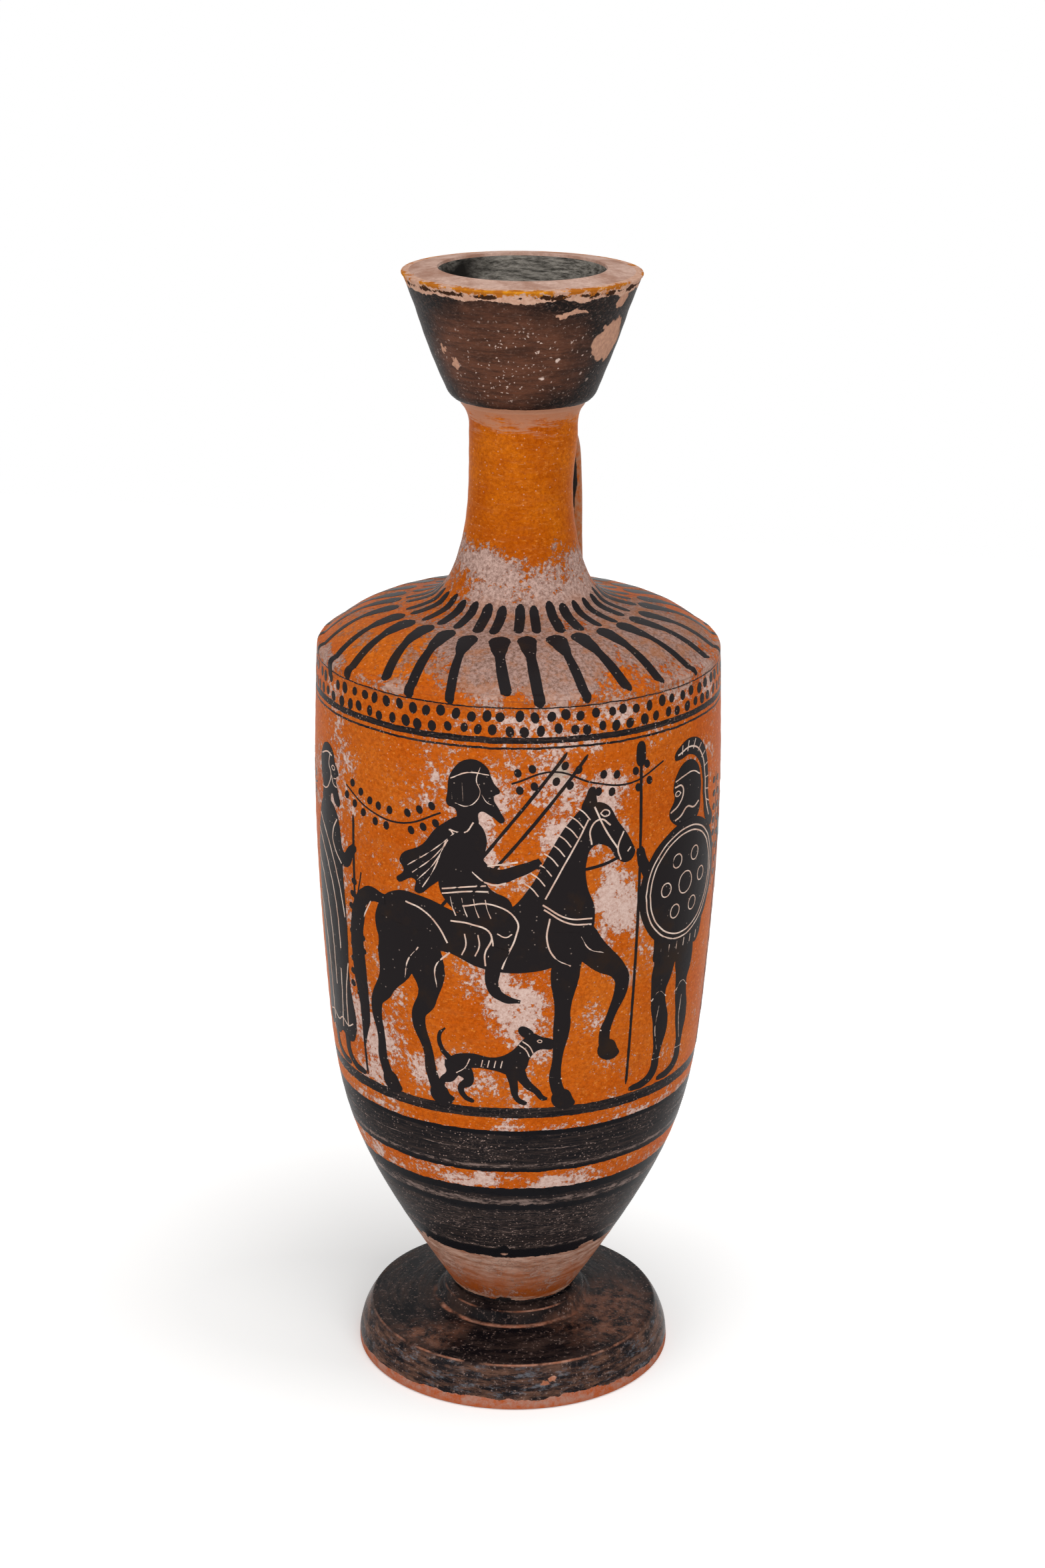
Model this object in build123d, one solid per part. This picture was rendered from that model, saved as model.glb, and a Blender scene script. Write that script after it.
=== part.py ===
"""Oil flask of the black-figure kind (a shoulder lekythos), as a potter builds it.

Foot, body, neck, mouth and strap handle are thrown or pulled apart from each other and
luted together leather-hard with clay slip. Each piece and each bed of slip is a solid of
its own. Millimetres, +Z up, origin on the floor under the middle of the foot, handle on +Y.
"""

import os

from build123d import *

# Luting: the bed of slip between two pieces, and how far it stays behind the outer skin
SLIP = 0.5
SLIP_SETBACK = 0.4

# Foot: a disc with a rounded side, a gently rising top, a collar and a hollowed underside
FOOT_RADIUS = 29.2
FOOT_SIDE_HEIGHT = 8.0
FOOT_SIDE_LEAN = 2.5
FOOT_SIDE_BULGE = 0.75
FOOT_REST_WIDTH = 7.0
FOOT_HOLLOW_DEPTH = 4.5
FOOT_TOP_RISE = 1.3
FOOT_GROOVE_WIDTH = 0.7
FOOT_GROOVE_DEPTH = 0.3
COLLAR_RADIUS = 14.2
COLLAR_SEAT_RADIUS = 12.1
COLLAR_HEIGHT = 2.7
COLLAR_BULGE = 0.3

# Body: a tapered base, a tall belly and a shoulder ridge, with a hollow inside
BASE_RADIUS = 11.6
TAPER_HEIGHT = 17.3
TAPER_RADIUS = 22.1
TURN_HEIGHT = 37.3
TURN_RADIUS = 31.0
FLANK_HEIGHT = 61.3
FLANK_RADIUS = 34.5
BELLY_HEIGHT = 94.0
BELLY_RADIUS = 36.2
RIDGE_HEIGHT = 124.2
RIDGE_RADIUS = 35.6
RIDGE_ROUND = 1.2
SHOULDER_RISE = 8.6
SHOULDER_CROWN_RADIUS = 28.0
SHOULDER_CROWN_HEIGHT = 4.2
SHOULDER_EDGE_SLOPE = 0.9
SHOULDER_NECK_SLOPE = 0.85
BODY_WALL = 3.6
BODY_FLOOR = 7.0

# Neck: a tube that sweeps out at the foot to sit on the shoulder
NECK_FOOT_RADIUS = 13.8
NECK_HEIGHT = 32.7
NECK_WAIST_RADIUS = 9.1
NECK_WAIST_HEIGHT = 22.0
NECK_SWEEP_RADIUS = 11.2
NECK_SWEEP_HEIGHT = 5.0
NECK_FLARE_HEIGHT = 4.0
NECK_TOP_RADIUS = 10.6
NECK_BORE_RADIUS = 5.6

# Mouth: a deep cup with straight flaring sides and a broad flat lip
MOUTH_UNDER_RADIUS = 10.8
MOUTH_HEEL_RADIUS = 13.2
MOUTH_HEEL_HEIGHT = 2.4
MOUTH_WAIST_RADIUS = 18.3
MOUTH_WAIST_HEIGHT = 15.8
MOUTH_SIDE_DIP = 0.25
LIP_RADIUS = 20.7
LIP_EDGE_HEIGHT = 22.0
LIP_EDGE_ROUND = 0.5
LIP_TOP_RISE = 0.7
LIP_OPENING_RADIUS = 14.6
CUP_FLOOR_HEIGHT = 4.0
CUP_WALL_DIP = 1.2

# Handle: a strap from the neck, just under the mouth, down to the shoulder
HANDLE_FOOT_REACH = 22.4
HANDLE_REACH = 20.4
HANDLE_TOP_DROP = 7.3
HANDLE_BEND_RADIUS = 11.0
HANDLE_WIDTH = 13.0
HANDLE_ROOT_WIDTH = 13.4
HANDLE_FLARE_LENGTH = 13.0
HANDLE_THICKNESS = 4.8
HANDLE_ROOT_THICKNESS = 6.0

# Heights that follow from the pieces below
collar_base_z = FOOT_SIDE_HEIGHT + FOOT_TOP_RISE
foot_seat_z = collar_base_z + COLLAR_HEIGHT
body_base_z = foot_seat_z + SLIP
ridge_z = body_base_z + RIDGE_HEIGHT
shoulder_seat_z = ridge_z + RIDGE_ROUND + SHOULDER_RISE
neck_base_z = shoulder_seat_z + SLIP
neck_top_z = neck_base_z + NECK_HEIGHT
mouth_base_z = neck_top_z + SLIP


def between(start, end, share, outwards=0.0):
    """The point at that share of the way from start to end, moved square to the line."""
    (r0, z0), (r1, z1) = start, end
    run, rise = r1 - r0, z1 - z0
    length = (run**2 + rise**2) ** 0.5
    r = r0 + share * run + outwards * rise / length
    z = z0 + share * rise - outwards * run / length
    return (r, z)


def turned(*edges):
    """A solid turned on the wheel from a closed outline of radius and height."""
    return revolve(Plane.XZ * make_face(list(edges)), Axis.Z)


def ring(inner_radius, outer_radius, low_z, high_z):
    """A flat bed of slip between two turned pieces."""
    low_inner, low_outer = (inner_radius, low_z), (outer_radius, low_z)
    high_inner, high_outer = (inner_radius, high_z), (outer_radius, high_z)
    return turned(Polyline(low_inner, low_outer, high_outer, high_inner, close=True))


def make_foot():
    heel = (FOOT_RADIUS, 0)
    edge = (FOOT_RADIUS - FOOT_SIDE_LEAN, FOOT_SIDE_HEIGHT)
    collar = (COLLAR_RADIUS, collar_base_z)
    seat = (COLLAR_SEAT_RADIUS, foot_seat_z)
    hollow_edge = (FOOT_RADIUS - FOOT_REST_WIDTH, 0)
    hollow_top = (0, FOOT_HOLLOW_DEPTH)
    foot = turned(
        Line(hollow_edge, heel),
        ThreePointArc(heel, between(heel, edge, 0.5, FOOT_SIDE_BULGE), edge),
        Line(edge, collar),
        ThreePointArc(collar, between(collar, seat, 0.5, COLLAR_BULGE), seat),
        Line(seat, (0, foot_seat_z)),
        Line((0, foot_seat_z), hollow_top),
        Line(hollow_top, hollow_edge),
    )
    groove_radius = COLLAR_RADIUS + FOOT_GROOVE_WIDTH / 2
    groove = ring(
        groove_radius - FOOT_GROOVE_WIDTH / 2,
        groove_radius + FOOT_GROOVE_WIDTH / 2,
        collar_base_z - FOOT_GROOVE_DEPTH,
        foot_seat_z,
    )
    return foot - groove


def body_outline(wall):
    """The points of the body's side at a depth of wall inside its skin, from taper to ridge."""
    return [
        (TAPER_RADIUS - wall, body_base_z + TAPER_HEIGHT),
        (TURN_RADIUS - wall, body_base_z + TURN_HEIGHT),
        (FLANK_RADIUS - wall, body_base_z + FLANK_HEIGHT),
        (BELLY_RADIUS - wall, body_base_z + BELLY_HEIGHT),
        (RIDGE_RADIUS - wall, ridge_z),
    ]


def shoulder_points(raised):
    """The shoulder's skin from its rounded ridge, over its low crown, to the neck's seat."""
    low_z = ridge_z + RIDGE_ROUND + raised
    return [
        (RIDGE_RADIUS - RIDGE_ROUND, low_z),
        (SHOULDER_CROWN_RADIUS, low_z + SHOULDER_CROWN_HEIGHT),
        (NECK_FOOT_RADIUS, low_z + SHOULDER_RISE),
    ]


def shoulder_line(points):
    return Spline(*points, tangents=((-1, SHOULDER_EDGE_SLOPE), (-1, SHOULDER_NECK_SLOPE)))


def make_body():
    base = (BASE_RADIUS, body_base_z)
    side = body_outline(0)
    inner_side = body_outline(BODY_WALL)
    shoulder = shoulder_points(0)
    throat_top = (NECK_BORE_RADIUS, shoulder_seat_z)
    throat_bottom = (NECK_BORE_RADIUS, shoulder_seat_z - BODY_WALL)
    inner_ridge = inner_side[-1]
    floor_middle = (0, body_base_z + BODY_FLOOR)
    return turned(
        Line((0, body_base_z), base),
        Spline(base, *side),
        RadiusArc(side[-1], shoulder[0], -RIDGE_ROUND),
        shoulder_line(shoulder),
        Line(shoulder[-1], throat_top),
        Line(throat_top, throat_bottom),
        Line(throat_bottom, inner_ridge),
        Spline(*reversed(inner_side), floor_middle, tangents=((0, -1), (-1, 0))),
        Line(floor_middle, (0, body_base_z)),
    )


def neck_skin(depth):
    """The neck's outer line at a depth inside its skin, from its foot up to its top."""
    waist_z = neck_base_z + NECK_WAIST_HEIGHT
    flare_z = neck_top_z - NECK_FLARE_HEIGHT
    return [
        Spline(
            (NECK_FOOT_RADIUS - depth, neck_base_z),
            (NECK_SWEEP_RADIUS - depth, neck_base_z + NECK_SWEEP_HEIGHT),
            (NECK_WAIST_RADIUS - depth, waist_z),
            tangents=((-1, 1), (0, 1)),
        ),
        Line((NECK_WAIST_RADIUS - depth, waist_z), (NECK_WAIST_RADIUS - depth, flare_z)),
        Spline(
            (NECK_WAIST_RADIUS - depth, flare_z),
            (NECK_TOP_RADIUS - depth, neck_top_z),
            tangents=((0, 1), (1, 1)),
        ),
    ]


def make_neck():
    return turned(
        *neck_skin(0),
        Line((NECK_TOP_RADIUS, neck_top_z), (NECK_BORE_RADIUS, neck_top_z)),
        Line((NECK_BORE_RADIUS, neck_top_z), (NECK_BORE_RADIUS, neck_base_z)),
        Line((NECK_BORE_RADIUS, neck_base_z), (NECK_FOOT_RADIUS, neck_base_z)),
    )


def make_mouth():
    under = (MOUTH_UNDER_RADIUS, mouth_base_z)
    heel = (MOUTH_HEEL_RADIUS, mouth_base_z + MOUTH_HEEL_HEIGHT)
    waist = (MOUTH_WAIST_RADIUS, mouth_base_z + MOUTH_WAIST_HEIGHT)
    edge_z = mouth_base_z + LIP_EDGE_HEIGHT
    edge_low = (LIP_RADIUS - LIP_EDGE_ROUND / 2, edge_z - LIP_EDGE_ROUND)
    edge_high = (LIP_RADIUS - LIP_EDGE_ROUND, edge_z)
    opening = (LIP_OPENING_RADIUS, edge_z + LIP_TOP_RISE)
    cup_floor = (NECK_BORE_RADIUS, mouth_base_z + CUP_FLOOR_HEIGHT)
    return turned(
        Line((NECK_BORE_RADIUS, mouth_base_z), under),
        Spline(under, heel, tangents=((1, 0.4), (waist[0] - heel[0], waist[1] - heel[1]))),
        ThreePointArc(heel, between(heel, waist, 0.5, MOUTH_SIDE_DIP), waist),
        Line(waist, edge_low),
        ThreePointArc(edge_low, (LIP_RADIUS, edge_z - LIP_EDGE_ROUND / 2), edge_high),
        Line(edge_high, opening),
        ThreePointArc(opening, between(opening, cup_floor, 0.5, -CUP_WALL_DIP), cup_floor),
        Line(cup_floor, (NECK_BORE_RADIUS, mouth_base_z)),
    )


def make_strap():
    """The whole strap, long enough to run into the neck and the shoulder."""
    top_z = neck_top_z - HANDLE_TOP_DROP
    foot_z = ridge_z
    path = Plane.YZ * FilletPolyline(
        (HANDLE_FOOT_REACH, foot_z), (HANDLE_REACH, top_z), (0, top_z), radius=HANDLE_BEND_RADIUS
    )
    root = (HANDLE_ROOT_WIDTH, HANDLE_ROOT_THICKNESS)
    strap = (HANDLE_WIDTH, HANDLE_THICKNESS)
    flare = HANDLE_FLARE_LENGTH / path.length
    sections = [(0.0, root), (flare, strap), (1.0 - flare, strap), (1.0, root)]
    faces = []
    for share, (width, thickness) in sections:
        plane = Plane(origin=path @ share, x_dir=(1, 0, 0), z_dir=path % share)
        faces.append(plane * Ellipse(width / 2, thickness / 2))
    return sweep(faces, path=path, multisection=True)


def neck_core(grown):
    """The space that the neck fills, bore and all, grown by that much."""
    axis_low, axis_high = (0, neck_base_z), (0, neck_top_z)
    foot_edge = (NECK_FOOT_RADIUS + grown, neck_base_z)
    top_edge = (NECK_TOP_RADIUS + grown, neck_top_z)
    return turned(
        *neck_skin(-grown),
        Line(top_edge, axis_high),
        Line(axis_high, axis_low),
        Line(axis_low, foot_edge),
    )


def shoulder_core(grown):
    """The space under the shoulder's skin, hollow and all, raised by that much."""
    skin = shoulder_points(grown)
    edge, seat = skin[0], skin[-1]
    low_edge, low_middle, top_middle = (edge[0], body_base_z), (0, body_base_z), (0, seat[1])
    return turned(
        shoulder_line(skin),
        Line(seat, top_middle),
        Line(top_middle, low_middle),
        Line(low_middle, low_edge),
        Line(low_edge, edge),
    )


def make_handle_set():
    """The handle between its two seats, and the pad of slip on each seat."""
    strap = make_strap()
    neck_side, shoulder_side = neck_core(0), shoulder_core(0)
    neck_bed, shoulder_bed = neck_core(SLIP), shoulder_core(SLIP)
    handle = strap - neck_bed - shoulder_bed
    upper_pad = (strap & neck_bed) - neck_side
    lower_pad = (strap & shoulder_bed) - shoulder_side
    upper_pad = [s for s in upper_pad.solids() if s.center().Z > handle.center().Z][0]
    lower_pad = [s for s in lower_pad.solids() if s.center().Y > NECK_FOOT_RADIUS][0]
    return handle, upper_pad, lower_pad


def main():
    handle, upper_pad, lower_pad = make_handle_set()
    pieces = {
        "foot": make_foot(),
        "foot_slip_bed": ring(0, BASE_RADIUS - SLIP_SETBACK, foot_seat_z, body_base_z),
        "body": make_body(),
        "neck_slip_bed": ring(
            NECK_BORE_RADIUS, NECK_FOOT_RADIUS - SLIP_SETBACK, shoulder_seat_z, neck_base_z
        ),
        "neck": make_neck(),
        "mouth_slip_bed": ring(NECK_BORE_RADIUS, NECK_TOP_RADIUS - SLIP_SETBACK, neck_top_z, mouth_base_z),
        "mouth": make_mouth(),
        "handle": handle,
        "handle_upper_slip_pad": upper_pad,
        "handle_lower_slip_pad": lower_pad,
    }
    os.makedirs("parts", exist_ok=True)
    for name, piece in pieces.items():
        export_step(piece, f"parts/{name}.step")
        size = piece.bounding_box().size
        box = f"{size.X:.1f} x {size.Y:.1f} x {size.Z:.1f} mm"
        print(f"{name}: {len(piece.solids())} solid, {piece.volume / 1000:.2f} ml, {box}")


main()
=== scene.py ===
"""Looks of the black-figure oil flask: thrown clay, slip paint, incised figures and long wear.

The pieces follow the frame's solids. Sizes in this file are millimetres unless a name says otherwise.
"""

import bisect
import math
import random

import bmesh
import bpy
from mathutils import Matrix, Vector, noise
from mathutils.bvhtree import BVHTree


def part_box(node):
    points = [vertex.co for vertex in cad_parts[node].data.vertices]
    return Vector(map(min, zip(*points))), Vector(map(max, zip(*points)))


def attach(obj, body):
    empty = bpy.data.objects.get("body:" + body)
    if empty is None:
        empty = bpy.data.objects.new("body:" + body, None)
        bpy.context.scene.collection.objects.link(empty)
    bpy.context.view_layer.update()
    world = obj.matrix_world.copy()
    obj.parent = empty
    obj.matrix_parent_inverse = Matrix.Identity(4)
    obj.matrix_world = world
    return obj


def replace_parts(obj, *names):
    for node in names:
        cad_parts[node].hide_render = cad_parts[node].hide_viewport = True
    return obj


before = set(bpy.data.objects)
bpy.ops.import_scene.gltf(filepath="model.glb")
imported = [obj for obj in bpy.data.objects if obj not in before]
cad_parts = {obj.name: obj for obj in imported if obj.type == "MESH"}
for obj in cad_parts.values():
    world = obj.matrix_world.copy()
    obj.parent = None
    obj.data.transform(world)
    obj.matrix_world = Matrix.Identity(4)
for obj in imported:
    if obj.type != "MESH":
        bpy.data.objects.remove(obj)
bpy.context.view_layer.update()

MM = 0.001
scene = bpy.context.scene

# The photograph's camera, worked out from the rim, ridge and foot circles
CAMERA_PLACE = (115.4, -507.1, 290.4)
CAMERA_HEADING = math.radians(12.725)
CAMERA_DOWN = math.radians(19.095)
CAMERA_ROLL = math.radians(0.547)
CAMERA_LENS = 70.68
CAMERA_SENSOR = 36.0

# The thrown wall: a slow swell and faint turning rings
SWELL = 0.10
SWELL_SIZE = 60.0
SETBACK = 0.16
RING_HEIGHT = 0.018
RING_PITCH = 3.4
RING_SWAY = 3.0
# Under the mouth the neck is fuller on the right, where the joint was smeared over
FULLNESS = 0.85
FULL_Z = 175.0
FULL_REACH = 6.5
FULL_SIDE = Vector((0.975, 0.22, 0.0))

# The body's ridge, where side and shoulder meet, and the skirt with which the neck runs out
RIDGE_Z = 136.7
RIDGE_ROUND = 1.2
SKIRT_REACH = 2.0
SKIRT_RISE = 0.12
SKIRT_CLEAR = 0.3

# The front is where the painter's middle faces the camera, as an angle from -Y towards +X
FRONT = math.radians(12.8)
GROUND_Z = 62.3
FRIEZE_RADIUS = 35.6

# Paint: how far slip stands proud of the clay, how it rounds off at its edge, how deep its back lies
SLIP_RELIEF = 0.045
SLIP_LAYER = 0.004
SLIP_EDGE = 0.25
SLIP_SUNK = 0.10
PLATE = 1.0
PLATE_GRID = 2.2
INCISION = 0.36
INCISION_RELIEF = 0.17

SHARP_ANGLE = math.radians(38)
# Points nearer to each other than this are one
WELD = 1e-4
STRAP_WELD = 1e-3
# Small steps that keep an outline's points apart and a ray off an edge
JUST = 0.02
HAIR = 0.1


def steps(start, end, pitch):
    """Even steps from start to end, both included, about pitch apart."""
    count = max(1, round(abs(end - start) / pitch))
    return [start + (end - start) * k / count for k in range(count + 1)]


def mixed(pair, other, share):
    """A pair of numbers that lies that share of the way to another pair."""
    return tuple(a + (b - a) * share for a, b in zip(pair, other))


# Reading the frame: radii and heights of a turned solid, along rays just beside its seam
RAY_START = 0.4
BESIDE_SEAM = 1e-5


def tree_of(node):
    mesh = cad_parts[node].data
    return BVHTree.FromPolygons([v.co for v in mesh.vertices], [p.vertices for p in mesh.polygons])


def radius_of(tree, z):
    place = tree.ray_cast(Vector((RAY_START, BESIDE_SEAM, z * MM)), Vector((-1, 0, 0)))[0]
    return place.xy.length / MM


def hollow_radius_of(tree, z):
    place = tree.ray_cast(Vector((0, BESIDE_SEAM, z * MM)), Vector((1, 0, 0)))[0]
    return place.xy.length / MM


def top_of(tree, radius):
    place = tree.ray_cast(Vector((radius * MM, BESIDE_SEAM, RAY_START)), Vector((0, 0, -1)))[0]
    return place.z / MM


def underside_of(tree, radius):
    place = tree.ray_cast(Vector((radius * MM, BESIDE_SEAM, -RAY_START)), Vector((0, 0, 1)))[0]
    return place.z / MM


def side_points(tree, start, end, step):
    """Points of radius and height on a solid's side, from one height to another."""
    return [(radius_of(tree, z), z) for z in steps(start, end, step)]


def top_points(tree, start, end, step):
    """Points of radius and height on a solid's top, from one radius to another."""
    return [(r, top_of(tree, r)) for r in steps(start, end, step)]


def hollow_points(tree, start, end, step):
    """Points of radius and height in a solid's hollow, from one height to another."""
    return [(hollow_radius_of(tree, z), z) for z in steps(start, end, step)]


def low_of(node):
    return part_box(node)[0].z / MM


def high_of(node):
    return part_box(node)[1].z / MM


def reach_of(node):
    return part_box(node)[1].x / MM


body_tree, neck_tree, mouth_tree, foot_tree = (tree_of(n) for n in ("body", "neck", "mouth", "foot"))
BORE_RADIUS = hollow_radius_of(neck_tree, (low_of("neck") + high_of("neck")) / 2)
NECK_END = high_of("neck") - JUST

# Where the shoulder's outline starts inside the ridge, and the neck's above its foot
SHOULDER_START = 0.2
NECK_START = 0.3

# Outlines of radius and height that the body and the neck are turned from
side_line = side_points(body_tree, low_of("body") + JUST, RIDGE_Z, step=1.1)
ridge_line = side_points(body_tree, RIDGE_Z, RIDGE_Z + RIDGE_ROUND - JUST, step=0.17)[1:]
shoulder_radius = ridge_line[-1][0] - SHOULDER_START
shoulder_line = top_points(body_tree, shoulder_radius, reach_of("neck") + JUST, step=0.6)
skirt_line = [
    (reach_of("neck") + reach, top_of(body_tree, reach_of("neck") + reach) + rise)
    for reach, rise in ((SKIRT_REACH, -SKIRT_RISE), (SKIRT_REACH / 2, SKIRT_RISE))
]
neck_line = skirt_line + side_points(neck_tree, low_of("neck") + NECK_START, NECK_END, step=0.7)
on_shoulder = [point for point in shoulder_line if point[0] > skirt_line[1][0] + SKIRT_CLEAR]
paint_line = side_line + ridge_line + on_shoulder + neck_line[1:]


def hand_made(point):
    """A point of the true shape, in metres, moved to where a hand at the wheel leaves it."""
    flat = Vector((point.x, point.y, 0))
    if flat.length < MM:
        return point
    slow = noise.noise(point / (SWELL_SIZE * MM))
    rings = math.sin(point.z / MM * math.tau / RING_PITCH + RING_SWAY * slow)
    outwards = flat.normalized()
    above = (point.z / MM - FULL_Z) / FULL_REACH
    smear = FULLNESS * max(0.0, outwards.dot(FULL_SIDE)) * math.exp(-(above**2))
    return point + outwards * (SWELL * slow + RING_HEIGHT * rings + smear - SETBACK) * MM


def finished(name, bm, material, normals=None):
    """Makes a bmesh a piece of the flask."""
    mesh = bpy.data.meshes.new(name)
    bm.to_mesh(mesh)
    bm.free()
    mesh.shade_smooth()
    if normals:
        mesh.normals_split_custom_set_from_vertices(normals)
    else:
        mesh.set_sharp_from_angle(angle=SHARP_ANGLE)
    mesh.materials.append(material)
    piece = bpy.data.objects.new(name, mesh)
    scene.collection.objects.link(piece)
    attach(piece, "root")
    return piece


def turned(outline, around, closed):
    """A bmesh turned on the wheel from an outline, closed to a ring or ending on the axis."""
    bm = bmesh.new()
    points = [bm.verts.new((r * MM, 0, z * MM)) for r, z in outline]
    edges = [bm.edges.new(pair) for pair in zip(points, points[1:])]
    if closed:
        edges.append(bm.edges.new((points[-1], points[0])))
    full_turn = {"axis": (0, 0, 1), "cent": (0, 0, 0), "angle": math.tau, "use_merge": True}
    bmesh.ops.spin(bm, geom=points + edges, steps=around, **full_turn)
    bmesh.ops.remove_doubles(bm, verts=bm.verts, dist=WELD * MM)
    bmesh.ops.recalc_face_normals(bm, faces=bm.faces)
    return bm


def smooth_line(curve, points, cyclic):
    """Adds a smooth line to a curve, through points of x, y, z and half width."""
    line = curve.splines.new("BEZIER")
    line.bezier_points.add(len(points) - 1)
    line.use_cyclic_u = cyclic
    for point, (*place, half) in zip(line.bezier_points, points):
        point.co = place
        point.radius = half
        point.handle_left_type = point.handle_right_type = "AUTO"
    return line


def meshed(curve):
    """A curve turned into a bmesh."""
    holder = bpy.data.objects.new(curve.name, curve)
    scene.collection.objects.link(holder)
    mesh = bpy.data.meshes.new_from_object(holder.evaluated_get(bpy.context.evaluated_depsgraph_get()))
    bm = bmesh.new()
    bm.from_mesh(mesh)
    bpy.data.objects.remove(holder)
    bpy.data.curves.remove(curve)
    bpy.data.meshes.remove(mesh)
    return bm


# Materials
NOISE_MIDDLE = 0.5
SPECK_CORE = 0.6
SPOT_SWAY = 1.6
SPOT_DETAIL = 6.0


def linear(code):
    """An sRGB hex colour as linear values."""
    shares = [int(code[k : k + 2], 16) / 255 for k in (1, 3, 5)]
    return (*[s / 12.92 if s <= 0.04045 else ((s + 0.055) / 1.055) ** 2.4 for s in shares], 1.0)


def add(tree, kind, inputs=(), out=0, **settings):
    """Adds a node with its settings, values, hex colours and links, and gives one of its outputs."""
    made = tree.nodes.new("ShaderNode" + kind)
    for name, value in settings.items():
        setattr(made, name, value)
    for name, value in dict(inputs).items():
        if isinstance(value, bpy.types.NodeSocket):
            tree.links.new(value, made.inputs[name])
        else:
            made.inputs[name].default_value = linear(value) if isinstance(value, str) else value
    return made.outputs[out] if made.outputs else None


def span(start, end, least=0.0, most=1.0):
    """Settings for a change from least at start to most at end."""
    return {"From Min": start, "From Max": end, "To Min": least, "To Max": most}


def grains(size, detail, roughness=0.5):
    """Settings for a noise with grains about size mm across."""
    return {"Scale": 1 / (size * MM), "Detail": detail, "Roughness": roughness}


def blotches(tree, place, size, low, high, detail=5.0, roughness=0.6, stretch=(1, 1, 1)):
    """A mask of patches about size mm across: 0 where the noise is under low, 1 over high."""
    spread = add(tree, "VectorMath", {0: place, 1: stretch}, operation="MULTIPLY")
    grain = add(tree, "TexNoise", {"Vector": spread, **grains(size, detail, roughness)})
    return add(tree, "MapRange", {"Value": grain, **span(low, high)}, interpolation_type="SMOOTHSTEP")


def specks(tree, place, spacing, size, share):
    """A mask of small round flecks, size mm across, in that share of cells spacing mm wide."""
    away = add(tree, "TexVoronoi", {"Vector": place, "Scale": 1 / (spacing * MM)})
    edge = size / spacing / 2
    near = add(tree, "MapRange", {"Value": away, **span(edge, edge * SPECK_CORE)})
    lucky = add(tree, "Math", {0: away.node.outputs["Color"], 1: share}, operation="LESS_THAN")
    return add(tree, "Math", {0: near, 1: lucky}, operation="MULTIPLY")


def patches(tree, place, spots, ragged, soft):
    """A mask of flaked or rubbed spots, each a middle and half sizes in mm, soft as a share of its size."""
    rough = add(tree, "TexNoise", {"Vector": place, **grains(ragged, SPOT_DETAIL)}, out=1)
    shift = add(tree, "VectorMath", {0: rough, 1: [NOISE_MIDDLE] * 3}, operation="SUBTRACT")
    sway = add(tree, "VectorMath", {0: shift, "Scale": ragged * SPOT_SWAY * MM}, operation="SCALE")
    moved = add(tree, "VectorMath", {0: place, 1: sway}, operation="ADD")
    mask = 0.0
    for middle, half in spots:
        away = add(tree, "VectorMath", {0: moved, 1: [m * MM for m in middle]}, operation="SUBTRACT")
        share = add(tree, "VectorMath", {0: away, 1: [1 / (h * MM) for h in half]}, operation="MULTIPLY")
        length = add(tree, "VectorMath", {0: share}, out=1, operation="LENGTH")
        spot = add(tree, "MapRange", {"Value": length, **span(1 + soft, 1 - soft)})
        mask = add(tree, "Math", {0: mask, 1: spot}, operation="MAXIMUM")
    return mask


def bands(tree, height, *table):
    """A mask of level bands, each from a low to a high edge in mm."""
    mask = 0.0
    for low, high in table:
        middle, half = (low + high) / 2, (high - low) / 2
        band = add(tree, "Math", {0: height, 1: middle, 2: half}, operation="COMPARE")
        mask = add(tree, "Math", {0: mask, 1: band}, operation="MAXIMUM")
    return mask


def from_ring(tree, height, radius, ring_radius, ring_height):
    """How far a point lies from a level ring round the axis, in mm."""
    off = add(tree, "Math", {0: radius, 1: ring_radius}, operation="SUBTRACT")
    rise = add(tree, "Math", {0: height, 1: ring_height}, operation="SUBTRACT")
    both = add(tree, "CombineXYZ", {0: off, 1: rise})
    return add(tree, "VectorMath", {0: both}, out=1, operation="LENGTH")


def stained(tree, colour, *stains):
    """A colour with stains laid over it in turn, each a tint, a mask and what limits the mask."""
    for tint, mask, *limits in stains:
        for limit in limits:
            mask = add(tree, "Math", {0: mask, 1: limit}, operation="MULTIPLY")
        colour = add(tree, "Mix", {0: mask, 6: colour, 7: tint}, out=2, data_type="RGBA")
    return colour


def new_material(name, patch_table):
    """An empty material: itself, its node tree, its object coordinates and its masks of patches by name."""
    material = bpy.data.materials.new(name)
    material.use_nodes = True
    tree = material.node_tree
    tree.nodes.clear()
    place = add(tree, "TexCoord", out=3)
    marks = {mark: blotches(tree, place, *row) for mark, row in patch_table.items()}
    return material, tree, place, marks


def measured(tree, place):
    """A point's height and its distance from the axis, in mm."""
    up = add(tree, "SeparateXYZ", {0: place}, out=2)
    level = add(tree, "VectorMath", {0: place, 1: (1, 1, 0)}, operation="MULTIPLY")
    out = add(tree, "VectorMath", {0: level}, out=1, operation="LENGTH")
    return [add(tree, "Math", {0: metres, 1: 1 / MM}, operation="MULTIPLY") for metres in (up, out)]


def close_material(tree, colour, roughness, bump, bump_depth, specular):
    """Ends a material in one principled shader, with its bump in mm."""
    normal = add(tree, "Bump", {"Height": bump, "Strength": 1.0, "Distance": bump_depth * MM})
    looks = {"Base Color": colour, "Roughness": roughness, "Specular IOR Level": specular}
    shader = add(tree, "BsdfPrincipled", {**looks, "Normal": normal})
    add(tree, "OutputMaterial", {"Surface": shader})


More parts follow.
